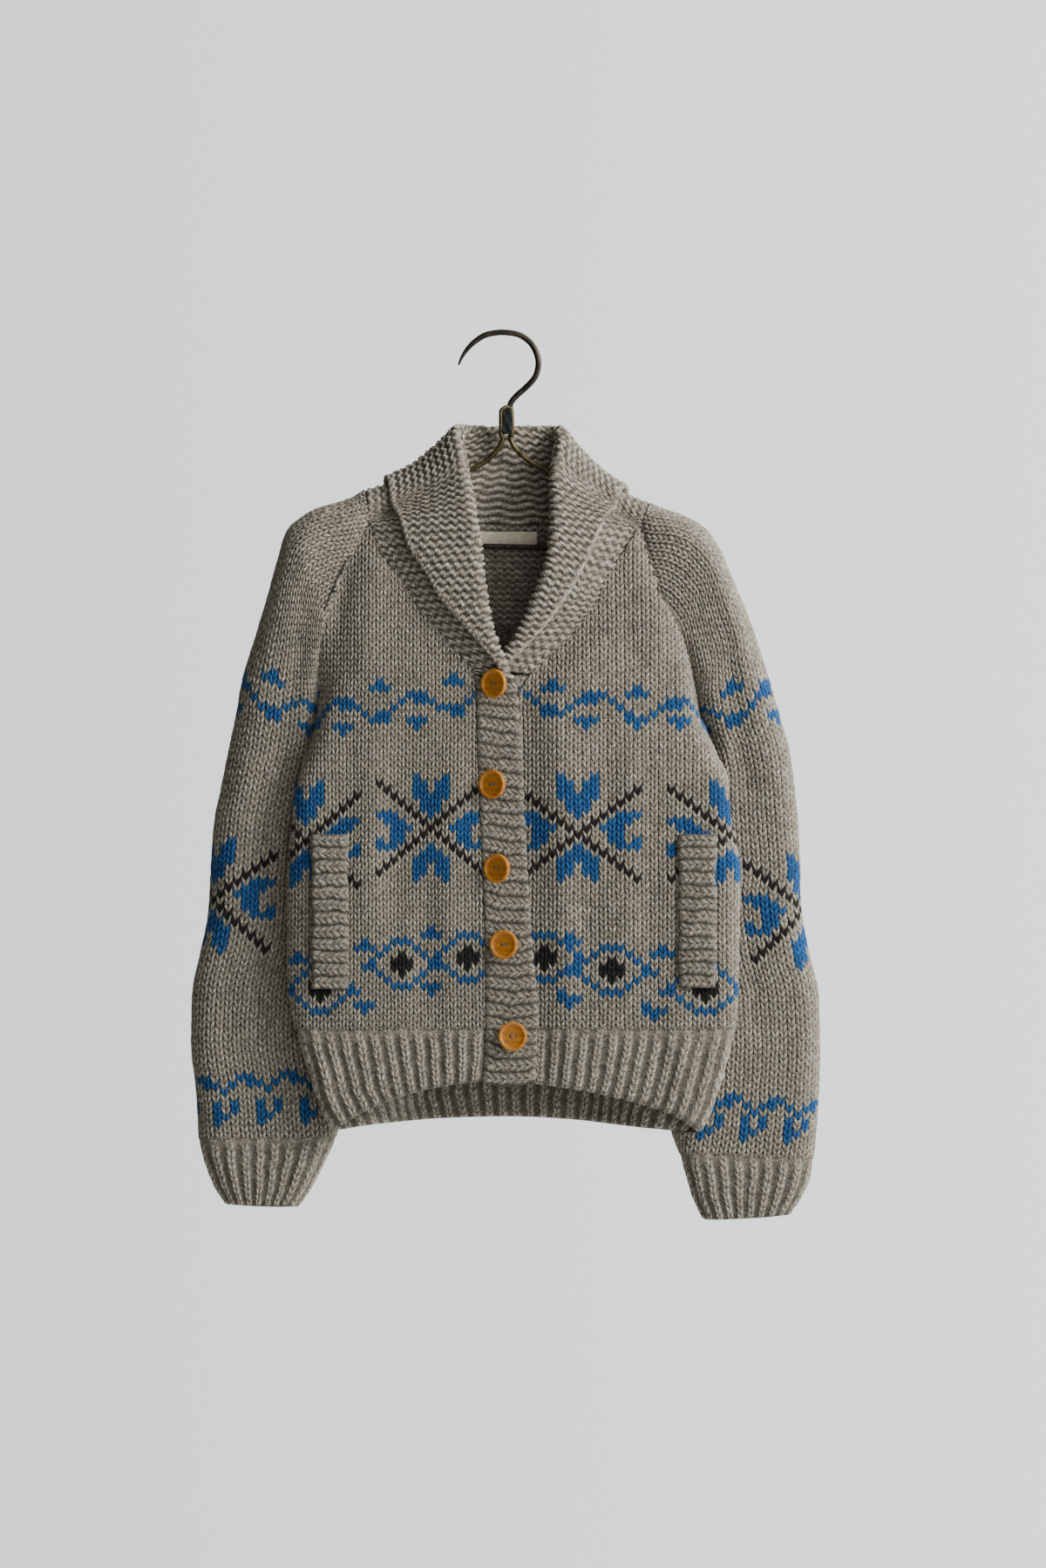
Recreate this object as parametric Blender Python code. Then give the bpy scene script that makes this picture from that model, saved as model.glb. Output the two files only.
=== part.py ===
"""Chunky hand-knit shawl-collar raglan cardigan, hung on an iron wire hanger.

Front faces -Y, the back lies towards +Y, +Z is up, and the origin is the inner crown of the hook.
The tables are in millimetres. "drop" is the distance below the hook's crown. "x" columns are distances
from the middle, for the wearer's right (-X) or left (+X) half. "y" columns are depths, front negative.
"""
import math

import bpy
import numpy as np

MM = 0.001
WALL = 4.6              # chunky knit is this thick
SEAM = 0.15             # each piece stops this far short of its seam
REST = 0.35             # what lies on something stays this far off it
RIB_HEIGHT = 1.8
RIB_PITCH = 13.2        # one knit and one purl column of the hem
BAND_RIBS = 30
CUFF_RIBS = 20
WELT_RIB_PITCH = 10.0
SIDE_ROUND = 16.0       # width over which a side fold or seam crease rounds off
SLEEVE_ROUND = 22.0
HEM_TOP = 637.0
COLLAR_END = 312.0      # drop at which the collar meets the bands
SLEEVE_HALF = 6         # faces across each half of a sleeve
LAP = 7.4               # the under band lies this far behind the button band
BUTTON_RADIUS = 13.2
BUTTON_THICK = 4.4
SHANK = 2.2             # radius of the thread stem behind a button
WIRE = 2.4
RIGHT, LEFT = -1, 1     # the wearer's sides


class Table:
    """Rows of named columns, read smoothly along the first column."""

    def __init__(self, names, rows):
        self.names = names.split()
        self.rows = np.array(rows, float)

    def at(self, name, where):
        xs = self.rows[:, 0]
        ys = self.rows[:, self.names.index(name)]
        x = np.clip(np.asarray(where, float), xs[0], xs[-1])
        h = np.diff(xs)
        d = np.diff(ys) / h
        m = np.concatenate([[d[0]], np.zeros(len(d) - 1), [d[-1]]])
        same = d[:-1] * d[1:] > 0
        m[1:-1][same] = 2 * d[:-1][same] * d[1:][same] / (d[:-1][same] + d[1:][same])
        i = np.clip(np.searchsorted(xs, x, side="right") - 1, 0, len(h) - 1)
        t = (x - xs[i]) / h[i]
        a = ys[i] * (1 + 2 * t) * (1 - t) ** 2 + ys[i + 1] * t * t * (3 - 2 * t)
        return a + h[i] * (m[i] * t * (1 - t) ** 2 - m[i + 1] * t * t * (1 - t))


# Depth of the fronts and of the back at the middle.
DEPTH = Table("drop front_y back_y", [
    (150, -14, 12), (176, -21, 12.5), (200, -29, 13), (240, -39, 13), (280, -47, 13),
    (320, -53, 13), (400, -57, 13.5), (500, -58, 13), (640, -58, 13), (735, -54, 11),
])
# Outer edge of each front: the raglan seam down to the underarm, then the side.
FRONT = {
    RIGHT: Table("drop edge_x seam_y edge_y", [
        (171, 128, -19, -21), (201, 142, -27, -28), (223, 153, -31, -32), (246, 162, -33, -35),
        (266, 168, -33, -37), (286, 172, -31, -39), (306, 174, -27, -41), (326, 175, -20, -43),
        (345, 175.5, -12, -44), (371, 178.5, -27, -49), (392, 187, -36, -52), (424, 195, -41, -54),
        (451, 198, -42, -54), (493, 201, -42, -54), (582, 202, -42, -54), (618, 198, -42, -53),
        (656, 190, -42, -53), (680, 182, -42, -53), (709, 173, -41, -52), (732, 160, -40, -51)]),
    LEFT: Table("drop edge_x seam_y edge_y", [
        (176, 122, -19, -21), (205, 129, -27, -28), (230, 137, -31, -32), (248, 145, -33, -35),
        (263, 153, -33, -37), (280, 161, -31, -39), (300, 168, -27, -41), (322, 173, -20, -43),
        (345, 175.5, -12, -44), (368, 183, -27, -49), (390, 193, -36, -52), (405, 200, -40, -54),
        (447, 204, -42, -54), (469, 209, -42, -54), (495, 212, -42, -54), (556, 211, -42, -54),
        (603, 210, -42, -54), (635, 208, -42, -53), (664, 202, -42, -53), (688, 195, -42, -53),
        (716, 186, -41, -52), (734, 176, -40, -51)]),
}
# Outer edge of each half of the back. Beyond turn_x it lies forward, in front of the sleeve.
BACK = {
    RIGHT: Table("drop edge_x seam_y edge_y turn_x", [
        (160, 98, 12, 13, 150), (185, 112, 12.5, 13.5, 150), (215, 128, 12.5, 14, 150),
        (242, 141, 12, 14, 150), (266, 151, 11, 14, 150), (288, 160, 9, 13, 155),
        (308, 167, 5, 12, 160), (327, 172, -3, 10, 165), (345, 175.5, -12, 6, 168),
        (371, 178.5, -27, -10, 168), (392, 187, -36, -24, 165), (424, 195, -41, -30, 158),
        (451, 198, -42, -31, 148), (500, 201, -42, -31, 139), (582, 202, -42, -31, 131),
        (618, 198, -42, -31, 131), (656, 190, -42, -31, 131), (709, 173, -41, -31, 137),
        (732, 160, -40, -31, 141)]),
    LEFT: Table("drop edge_x seam_y edge_y turn_x", [
        (165, 98, 12, 13, 150), (190, 112, 12.5, 13.5, 150), (218, 126, 12.5, 14, 150),
        (244, 139, 12, 14, 150), (266, 149, 11, 14, 150), (288, 159, 9, 13, 155),
        (308, 167, 5, 12, 160), (327, 172, -3, 10, 165), (345, 175.5, -12, 6, 168),
        (368, 183, -27, -10, 168), (390, 193, -36, -24, 165), (405, 200, -40, -29, 160),
        (447, 204, -42, -31, 148), (500, 212, -42, -31, 139), (556, 211, -42, -31, 131),
        (635, 208, -42, -31, 131), (688, 195, -42, -31, 135), (734, 176, -40, -31, 141)]),
}
# Inner edge of each front: the collar seam, then the seam of its band.
INNER = {
    RIGHT: Table("drop x", [
        (171, 128), (201, 118), (225, 98), (251, 83), (271, 65), (294, 46), (312, 31.5),
        (335, 30), (377, 29), (451, 26), (540, 22.5), (587, 21.5), (660, 22), (690, 25.5)]),
    LEFT: Table("drop x", [
        (176, 121), (201, 106), (220, 92), (246, 81), (264, 67), (285, 49), (303, 30), (312, 21),
        (336, 8), (368, 9), (403, 11), (451, 12), (500, 15), (532, 17), (572, 20), (603, 22),
        (635, 24), (690, 22)]),
}
# Free edge of the button band, on the wearer's left.
BAND_EDGE = Table("drop x", [
    (312, 5.5), (336, 9), (368, 11.5), (403, 13.5), (451, 15), (500, 18), (532, 20), (572, 23),
    (603, 26), (635, 27), (690, 25)])
# Bottom of the hem, from the band's seam to the side and from the middle of the back to the side.
HEM_FRONT = {
    RIGHT: Table("share drop", [(0, 685), (0.25, 690), (0.5, 700), (0.75, 714), (1, 731)]),
    LEFT: Table("share drop", [(0, 687), (0.25, 693), (0.5, 702), (0.75, 714), (1, 733)]),
}
HEM_BACK = Table("share drop", [(-1, 731), (-0.7, 724), (0, 719), (0.7, 728), (1, 733)])
# Sleeve, section by section from the neck to the cuff. "out" is the fold on the outside of the arm,
# "front" and "back" are the raglan seams, which meet at the underarm and are one inner fold below it.
SLEEVE_COLUMNS = (
    "step out_x out_drop front_x front_drop back_x back_drop front_y back_y seam_front seam_back mid_y")
SLEEVE = {
    RIGHT: Table(SLEEVE_COLUMNS, [
        (0, 132, 143, 128, 171, 98, 160, -21, 13, -19, 12, -2),
        (1, 146, 151, 142, 201, 112, 185, -28, 13.5, -27, 12.5, -2),
        (2, 176, 160, 153, 223, 128, 215, -32, 14, -31, 12.5, -2),
        (3, 190, 168, 162, 246, 141, 242, -34, 14, -33, 12, -3),
        (4, 203, 180, 168, 266, 151, 266, -35, 14, -33, 11, -4),
        (5, 211, 205, 172, 286, 160, 288, -35, 14, -31, 9, -5),
        (6, 220, 238, 174, 306, 167, 308, -35, 13, -27, 5, -6),
        (7, 231, 275, 175, 326, 172, 327, -34, 12, -20, -3, -6),
        (8, 244, 318, 175.5, 345, 175.5, 345, -32, 12, -12, -12, -6),
        (9, 250, 352, 180, 371, 180, 371, -29, 12, -8, -8, -6),
        (10, 256, 380, 184, 394, 184, 394, -27, 12, -7, -7, -6),
        (11, 264, 420, 178, 426, 178, 426, -26, 12, -7, -7, -6),
        (12, 270, 450, 168, 456, 168, 456, -26, 12, -7, -7, -7),
        (13, 273, 495, 159, 500, 159, 500, -26, 12, -7, -7, -7),
        (14, 275, 530, 154, 535, 154, 535, -27, 12, -7, -7, -7),
        (15, 283, 570, 149, 568, 149, 568, -26, 12, -7, -7, -7),
        (16, 290, 606, 147, 602, 147, 602, -26, 12, -7, -7, -7),
        (17, 291, 650, 148, 640, 148, 640, -27, 12, -7, -7, -7),
        (18, 287, 690, 151, 680, 151, 680, -26, 12, -7, -7, -7),
        (19, 285, 715, 155, 708, 155, 708, -26, 11, -7, -7, -7),
        (20, 284, 739, 159, 737, 159, 737, -25, 10, -7, -7, -7),
        (21, 278, 762, 168, 757, 168, 757, -25, 9, -7, -7, -8),
        (22, 270, 782, 179, 779, 179, 779, -24, 8, -7, -7, -8),
        (23, 258, 800, 194, 802, 194, 802, -22, 6, -8, -8, -8)]),
    LEFT: Table(SLEEVE_COLUMNS, [
        (0, 130, 155, 122, 176, 98, 165, -21, 13, -19, 12, -2),
        (1, 145, 161, 129, 205, 112, 190, -28, 13.5, -27, 12.5, -2),
        (2, 160, 166, 137, 230, 126, 218, -32, 14, -31, 12.5, -2),
        (3, 178, 176, 145, 248, 139, 244, -34, 14, -33, 12, -3),
        (4, 190, 190, 153, 263, 149, 266, -35, 14, -33, 11, -4),
        (5, 199, 210, 161, 280, 159, 288, -35, 14, -31, 9, -5),
        (6, 210, 235, 168, 300, 167, 308, -35, 13, -27, 5, -6),
        (7, 224, 270, 173, 322, 172, 327, -34, 12, -20, -3, -6),
        (8, 240, 320, 175.5, 345, 175.5, 345, -32, 12, -12, -12, -6),
        (9, 250, 354, 184.5, 368, 184.5, 368, -29, 12, -8, -8, -6),
        (10, 257, 384, 188, 392, 188, 392, -27, 12, -7, -7, -6),
        (11, 263, 425, 180, 426, 180, 426, -26, 12, -7, -7, -6),
        (12, 266, 455, 168, 458, 168, 458, -26, 12, -7, -7, -7),
        (13, 267, 495, 159, 500, 159, 500, -26, 12, -7, -7, -7),
        (14, 269, 530, 154, 535, 154, 535, -27, 12, -7, -7, -7),
        (15, 276, 568, 149, 570, 149, 570, -26, 12, -7, -7, -7),
        (16, 285, 610, 147, 606, 147, 606, -26, 12, -7, -7, -7),
        (17, 286, 655, 147, 646, 147, 646, -27, 12, -7, -7, -7),
        (18, 285, 695, 147, 684, 147, 684, -26, 12, -7, -7, -7),
        (19, 283, 728, 149, 722, 149, 722, -26, 11, -7, -7, -7),
        (20, 280, 757, 158, 752, 158, 752, -25, 10, -7, -7, -7),
        (21, 277, 775, 164, 772, 164, 772, -25, 9, -7, -7, -8),
        (22, 270, 791, 169, 789, 169, 789, -24, 8, -7, -7, -8),
        (23, 257, 810, 180, 814, 180, 814, -22, 6, -8, -8, -8)]),
}
# Soft hanging folds: place, length, half width and how far each stands out of the cloth.
FRONT_FOLDS = {
    RIGHT: [(118, 300, 620, 22, 3.5), (66, 470, 690, 20, -3.0), (160, 640, 740, 16, 2.5)],
    LEFT: [(104, 290, 610, 22, 3.5), (62, 420, 690, 22, -3.0), (150, 600, 740, 18, 3.0)],
}
BACK_FOLDS = [(-64, 230, 640, 26, 4.0), (30, 300, 720, 24, -3.0), (82, 260, 640, 24, 3.5)]
# Collar, from the wearer's right front round the back of the neck to the left front. "place" counts the
# seam's corners: 1 front raglan, 2 shoulder, 3 back raglan, 4 middle of the back, and so on to 8.
# "roll" is the outermost point of the fold, "gap" lies between the middles of its layers, "edge" is the
# free edge as a share of the way from the seam to the roll, "rise" is how far the layers bow towards the
# lean, and "lean" is where the fold leans over to.
COLLAR = Table("place roll_x roll_y roll_drop gap edge rise lean_x lean_y lean_up", [
    (0.0, 6, -55.5, 318, 6.2, 0.85, 0, 0, -1, 0),
    (0.15, -1, -56.5, 297, 6.8, 0.8, 1, 0, -1, 0),
    (0.32, -11, -55, 274, 8.0, 0.63, 2, 0, -1, 0),
    (0.5, -17, -52, 243, 8.2, 0.43, 3, 0, -1, 0),
    (0.68, -22, -47, 208, 8.2, 0.34, 3, -0.1, -1, 0.1),
    (0.85, -27, -40, 172, 8.2, 0.31, 1, -0.2, -0.9, 0.3),
    (1.0, -33, -30, 138, 8.2, 0.28, -3, -0.3, -0.8, 0.5),
    (2.0, -41, -6, 94, 8.2, 0.22, -9, -0.4, 0, 0.9),
    (2.5, -39, 5, 87, 8.2, 0.09, -4, -0.4, 0.5, 0.7),
    (3.0, -33, 14, 84, 8.2, -0.06, 0, -0.25, 0.9, 0.3),
    (4.0, 0, 15, 83, 8.2, -0.24, 0, 0, 1, 0),
    (5.0, 35, 14, 84, 8.2, -0.06, 0, 0.25, 0.9, 0.3),
    (5.5, 41, 5, 88, 8.2, 0.11, -4, 0.4, 0.5, 0.7),
    (6.0, 43, -6, 96, 8.2, 0.28, -9, 0.4, 0, 0.9),
    (7.0, 37, -30, 138, 8.2, 0.33, -3, 0.3, -0.8, 0.5),
    (7.15, 37, -38, 172, 8.2, 0.43, 1, 0.2, -0.9, 0.3),
    (7.32, 33, -44, 206, 8.2, 0.47, 2, 0.1, -1, 0.1),
    (7.5, 22, -45, 238, 8.0, 0.55, 2, 0, -1, 0),
    (7.68, 9, -45, 270, 7.2, 0.64, 1, 0, -1, 0),
    (7.85, -6, -43, 292, 6.2, 0.74, 0, 0, -1, 0),
    (8.0, -16, -42.5, 308, 5.6, 0.8, 0, 0, -1, 0),
])
# Pocket welts: from the middle to the opening, and from top to bottom.
WELTS = {RIGHT: (146, 180, 459, 600), LEFT: (155, 190, 459, 599)}
BUTTONS = [(-12.0, 321.0, 34), (-13.6, 413.0, 30), (-9.2, 490.0, 32), (-3.2, 559.5, 21), (4.8, 643.5, 14)]
LABEL = (-27.5, 26.5, 180.5, 193.5)
HOOK_PATH = [
    (-45.6, 26.8, 0.9), (-42.5, 19.5, 1.6), (-37, 11.5, 2.2), (-30, 4.8, 2.6), (-21, -0.6, 2.8),
    (-10, -2.9, 2.8), (0, -2.8, 2.8), (11, -0.4, 2.8), (20.5, 6.6, 2.8), (26.2, 16.5, 2.8),
    (27.7, 27, 2.8), (25, 37.5, 2.8), (17.5, 46.5, 2.8), (8.5, 54.5, 2.8), (3.2, 60.5, 2.8),
    (1.4, 65.3, 2.8)]
FERRULE = (-8.2, 5.0, 66.2, 91.5, 9.5)
ARMS = {
    RIGHT: [(-4.8, 92.2), (-6.2, 99), (-12, 107.5), (-24, 117.8), (-38, 125), (-70, 137), (-106, 149.5),
            (-132, 155), (-150, 161.8), (-172, 169.9), (-184, 175.5), (-190, 182.2), (-190.5, 188)],
    LEFT: [(1.6, 92.2), (3.2, 98), (8.5, 106), (21, 116.5), (38, 125), (68, 140), (100, 155.5),
           (128, 165.8), (144, 170.7), (158, 175.4), (169, 181.9), (175, 189.5), (176, 195.6)],
}
BAR = [(-190.5, 191.0), (-120, 192), (0, 194.2), (110, 197), (176, 199.0)]


def clear():
    for obj in list(bpy.data.objects):
        bpy.data.objects.remove(obj, do_unlink=True)


def material(name, rgb, roughness, metallic=0.0):
    mat = bpy.data.materials.new(name)
    mat.use_nodes = True
    shader = mat.node_tree.nodes["Principled BSDF"]
    shader.inputs["Base Color"].default_value = (*rgb, 1.0)
    shader.inputs["Roughness"].default_value = roughness
    shader.inputs["Metallic"].default_value = metallic
    return mat


def add_mesh(name, points, faces, mat):
    """One object from points in millimetres and faces, turned to face out."""
    pts = np.asarray(points, float)
    volume = 0.0
    for face in faces:
        for k in range(1, len(face) - 1):
            volume += np.dot(pts[face[0]], np.cross(pts[face[k]], pts[face[k + 1]]))
    if volume < 0:
        faces = [tuple(reversed(face)) for face in faces]
    mesh = bpy.data.meshes.new(name)
    mesh.from_pydata((pts * MM).tolist(), [], [tuple(int(i) for i in face) for face in faces])
    mesh.validate()
    mesh.materials.append(mat)
    obj = bpy.data.objects.new(name, mesh)
    bpy.context.scene.collection.objects.link(obj)
    return obj


def grid_faces(ids):
    """Quads over a grid of point numbers."""
    rows, columns = ids.shape
    return [
        (ids[i, j], ids[i, j + 1], ids[i + 1, j + 1], ids[i + 1, j])
        for i in range(rows - 1)
        for j in range(columns - 1)
    ]


def grid_normals(grid, closed=False):
    """Unit normals of a grid of points, from the differences along its rows and columns."""
    across = np.empty_like(grid)
    if closed:
        across = np.roll(grid, -1, axis=1) - np.roll(grid, 1, axis=1)
    else:
        across[:, 1:-1] = grid[:, 2:] - grid[:, :-2]
        across[:, 0] = grid[:, 1] - grid[:, 0]
        across[:, -1] = grid[:, -1] - grid[:, -2]
    along = np.gradient(grid, axis=0)
    found = np.cross(across, along)
    return found / np.maximum(np.linalg.norm(found, axis=2, keepdims=True), 1e-9)


def add_wall(name, outer, inner, ids, mat):
    """A closed wall between an outer and an inner grid. Equal numbers in ids are one point."""
    rows, columns = ids.shape
    used = {}
    points_out = []
    points_in = []
    for i in range(rows):
        for j in range(columns):
            if ids[i, j] not in used:
                used[ids[i, j]] = len(points_out)
                points_out.append(outer[i, j])
                points_in.append(inner[i, j])
    index = np.vectorize(used.get)(ids)
    quads = [tuple(face) for face in grid_faces(index)]
    count = len(points_out)
    sides = {}
    faces = []
    for a, b, c, d in quads:
        for edge in ((a, b), (b, c), (c, d), (d, a)):
            sides[edge] = True
        short = np.linalg.norm(points_out[a] - points_out[c]) <= np.linalg.norm(points_out[b] - points_out[d])
        faces += [(a, b, c), (a, c, d)] if short else [(a, b, d), (b, c, d)]
    closing = [(b, a, a + count, b + count) for (a, b) in sides if (b, a) not in sides]
    inside = [tuple(i + count for i in reversed(face)) for face in faces]
    return add_mesh(name, points_out + points_in, faces + inside + closing, mat)


def plain_ids(grid):
    return np.arange(grid.shape[0] * grid.shape[1]).reshape(grid.shape[:2])


def tube_ids(grid):
    """Numbers that make a grid's last column its first."""
    ids = plain_ids(grid)
    ids[:, -1] = ids[:, 0]
    return ids


def rounded(distance, width):
    """0 at a fold, rising to 1 along a quarter of an ellipse."""
    t = np.clip(distance / width, 0, 1)
    return np.sqrt(1 - (1 - t) ** 2)


def eased(t):
    t = np.clip(t, 0, 1)
    return t * t * (3 - 2 * t)


def fold_height(folds, x, drop):
    """How far the soft folds stand out of the cloth at a place."""
    total = np.zeros(np.broadcast(x, drop).shape)
    for place, top, bottom, half, height in folds:
        along = np.clip((drop - top) / (bottom - top), 0, 1)
        across = np.clip(np.abs(x - place - 8 * np.sin(along * 3.0)) / half, 0, 1)
        total = total + height * np.sin(np.pi * along) ** 2 * (1 - across ** 2) ** 2
    return total


def front_y(side, drop, x):
    """Depth of the outer face of a front, at a distance x from the middle."""
    drop = np.asarray(drop, float)
    edge = FRONT[side].at("edge_x", drop)
    seam = FRONT[side].at("seam_y", drop)
    middle = DEPTH.at("front_y", drop)
    surface = middle + (FRONT[side].at("edge_y", drop) - middle) * (x / edge) ** 2
    surface = surface - fold_height(FRONT_FOLDS[side], x, drop)
    if side == LEFT:
        near = 1 - eased((x - INNER[LEFT].at("x", drop)) / 38)
        surface = surface + LAP * near * eased((drop - 240) / 60)
    return seam + (surface - seam) * rounded(edge - x, SIDE_ROUND)


def front_grid(side, drops, shares):
    """Outer points of a front, drops by rows and shares of the width from the inner edge."""
    drop = np.asarray(drops, float)
    if drop.ndim == 1:
        drop = np.repeat(drop[:, None], len(shares), axis=1)
    inner = INNER[side].at("x", drop) + SEAM
    outer = FRONT[side].at("edge_x", drop) - SEAM
    x = inner + (outer - inner) * np.asarray(shares)[None, :]
    return np.stack([side * x, front_y(side, drop, x), -drop], axis=2)


def back_grid(drops_right, drops_left, dips, shares):
    """Outer points of the back: shares run from -1 at the right edge to 1 at the left."""
    rows = []
    for drop_right, drop_left, dip in zip(drops_right, drops_left, dips):
        row = []
        for share in shares:
            side = RIGHT if share < 0 else LEFT
            drop_edge = drop_right if share < 0 else drop_left
            row.append(back_point(side, share, drop_edge, drop_right, drop_left, dip))
        rows.append(row)
    return np.array(rows)


def back_point(side, share, drop_edge, drop_right, drop_left, dip):
    table = BACK[side]
    drop = drop_right + (drop_left - drop_right) * (share + 1) / 2 + dip * (1 - share ** 2)
    edge = float(table.at("edge_x", drop_edge)) - SEAM
    x = abs(share) * edge
    turn = float(table.at("turn_x", drop_edge))
    middle = float(DEPTH.at("back_y", drop))
    surface = middle + (float(table.at("edge_y", drop_edge)) - middle) * float(eased((x - turn + 62) / 62))
    surface = surface + float(fold_height(BACK_FOLDS, share * edge, drop))
    seam = float(table.at("seam_y", drop_edge))
    return (share * edge, seam + (surface - seam) * float(rounded(edge + SEAM - x, SIDE_ROUND)), -drop)


def sleeve_section(side, step, half_points, shift=0.0):
    """Outer points of one sleeve section, from the front seam over the outer fold to the back seam."""
    table = SLEEVE[side]
    out = np.array([table.at("out_x", step), table.at("out_drop", step)])
    middle = float(table.at("mid_y", step))
    points = []
    for face, sign in (("front", 1), ("back", -1)):
        inner = np.array([table.at(face + "_x", step) + shift, table.at(face + "_drop", step)])
        length = float(np.hypot(*(out - inner)))
        seam = float(table.at("seam_" + face, step))
        surface = float(table.at(face + "_y", step))
        share = (1 - np.cos(np.pi * np.linspace(0, 1, half_points + 1))) / 2
        if sign < 0:
            share = share[::-1][1:]
        away = share * length
        depth = seam + (surface - seam) * rounded(away, min(SIDE_ROUND, 0.4 * length))
        depth = middle + (depth - middle) * rounded(length - away, min(SLEEVE_ROUND, 0.6 * length))
        place = inner[None, :] + (out - inner)[None, :] * share[:, None]
        points.append(np.stack([side * place[:, 0], depth, -place[:, 1]], axis=1))
    return np.concatenate(points)


def resampled(line, count):
    """A line of points at equal steps along its length."""
    length = np.concatenate([[0], np.cumsum(np.linalg.norm(np.diff(line, axis=0), axis=1))])
    at = np.linspace(0, length[-1], count)
    return np.stack([np.interp(at, length, line[:, k]) for k in range(3)], axis=1)


def outward(grid, normals, centre):
    """Normals turned away from a line through the garment."""
    middle = grid[grid.shape[0] // 2, grid.shape[1] // 2]
    normal = normals[grid.shape[0] // 2, grid.shape[1] // 2]
    return normals if np.dot(middle - np.array(centre, float), normal) > 0 else -normals


def meet(own, other):
    """Both pieces' normals at a seam: shared where the cloth runs flat, its own in a crease."""
    weight = np.clip((own * other).sum(axis=1, keepdims=True), 0, 1)
    first = own + weight * other
    second = other + weight * own
    return (first / np.linalg.norm(first, axis=1, keepdims=True),
            second / np.linalg.norm(second, axis=1, keepdims=True))


def level(row):
    """Normals without their upright part, so that two pieces meet squarely at a level seam."""
    flat = row * np.array([1.0, 1.0, 0.0])
    return flat / np.linalg.norm(flat, axis=1, keepdims=True)


def ribbed(grid, normals, height, across=True):
    """Outer points raised on every other column (or row) of a grid."""
    count = grid.shape[1] if across else grid.shape[0]
    wave = np.where(np.arange(count) % 2 == 1, height, 0.0)
    wave = wave[None, :, None] if across else wave[:, None, None]
    return grid + normals * wave


def seam_steps(side):
    """Steps down the raglan seam, with one where the collar ends and one below it."""
    fine = np.linspace(0, 8, 801)
    drops = SLEEVE[side].at("front_drop", fine)
    more = [float(np.interp(drop, drops, fine)) for drop in (COLLAR_END, 335)]
    return np.array(sorted(list(range(9)) + more))


def build_body(wool, parts):
    """Fronts, back and sleeves: their grids and normals, matched along the shared seams."""
    lower = [360, 376, 392, 412, 440, 490, 550, 600, HEM_TOP - SEAM]
    steps = {side: seam_steps(side) for side in (RIGHT, LEFT)}
    shares = np.sin(np.linspace(0, 1, 10) * np.pi / 2)
    half = np.array([0, 0.2, 0.36, 0.48, 0.58, 0.67, 0.76, 0.86, 0.95, 1])
    back_shares = np.concatenate([-half[::-1], half[1:]])
    back_right = np.concatenate([SLEEVE[RIGHT].at("back_drop", steps[RIGHT]), lower])
    back_left = np.concatenate([SLEEVE[LEFT].at("back_drop", steps[LEFT]), lower])
    dips = np.concatenate([12 * (1 - eased(steps[RIGHT] / 8)), np.zeros(len(lower))])
    back = back_grid(back_right, back_left, dips, back_shares)
    back_n = outward(back, grid_normals(back), (0, -20, -400))
    sleeves = {}
    for side in (RIGHT, LEFT):
        tops = SLEEVE[side].at("front_drop", steps[side])
        tops[0] = tops[0] + 3.2
        front = front_grid(side, np.concatenate([tops, lower]), shares)
        front_n = outward(front, grid_normals(front), (0, -20, -400))
        more = [8.5, 9, 10, 11, 12, 13, 14, 15, 16, 17, 18.5, 20]
        stations = np.concatenate([steps[side], more])
        sleeve = np.array([sleeve_section(side, s, SLEEVE_HALF, SEAM) for s in stations])
        sleeve[-1, :, 2] += SEAM
        sleeve[0] = sleeve[0] + (sleeve[1] - sleeve[0]) * 0.02
        top = len(steps[side])
        sleeve_n = grid_normals(sleeve)
        around = list(range(2 * SLEEVE_HALF)) + [0]
        sleeve_n[top - 1:] = grid_normals(sleeve[top - 1:, :-1], closed=True)[:, around]
        sleeve_n = outward(sleeve, sleeve_n, (side * 210, -7, -400))
        column = 0 if side == RIGHT else -1
        a, b = meet(front_n[1:top - 1, -1], sleeve_n[1:top - 1, 0])
        front_n[1:top - 1, -1], sleeve_n[1:top - 1, 0] = a, b
        a, b = meet(back_n[:top - 1, column], sleeve_n[:top - 1, -1])
        back_n[:top - 1, column], sleeve_n[:top - 1, -1] = a, b
        a, _ = meet(front_n[top - 1:, -1], back_n[top - 1:, column])
        front_n[top - 1:, -1] = a
        back_n[top - 1:, column] = a
        front_n[-1] = level(front_n[-1])
        sleeve_n[-1] = level(sleeve_n[-1])
        ids = plain_ids(sleeve)
        ids[top - 1:, -1] = ids[top - 1:, 0]
        name = "right" if side == RIGHT else "left"
        add_wall("front_" + name, front, front - front_n * WALL, plain_ids(front), wool)
        add_wall("sleeve_" + name, sleeve, sleeve - sleeve_n * WALL, ids, wool)
        parts["front", side] = (front, front_n)
        sleeves[side] = (sleeve, sleeve_n)
    back_n[-1] = level(back_n[-1])
    add_wall("back", back, back - back_n * WALL, plain_ids(back), wool)
    parts["back"] = (back, back_n)
    parts["sleeve"] = sleeves


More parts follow.
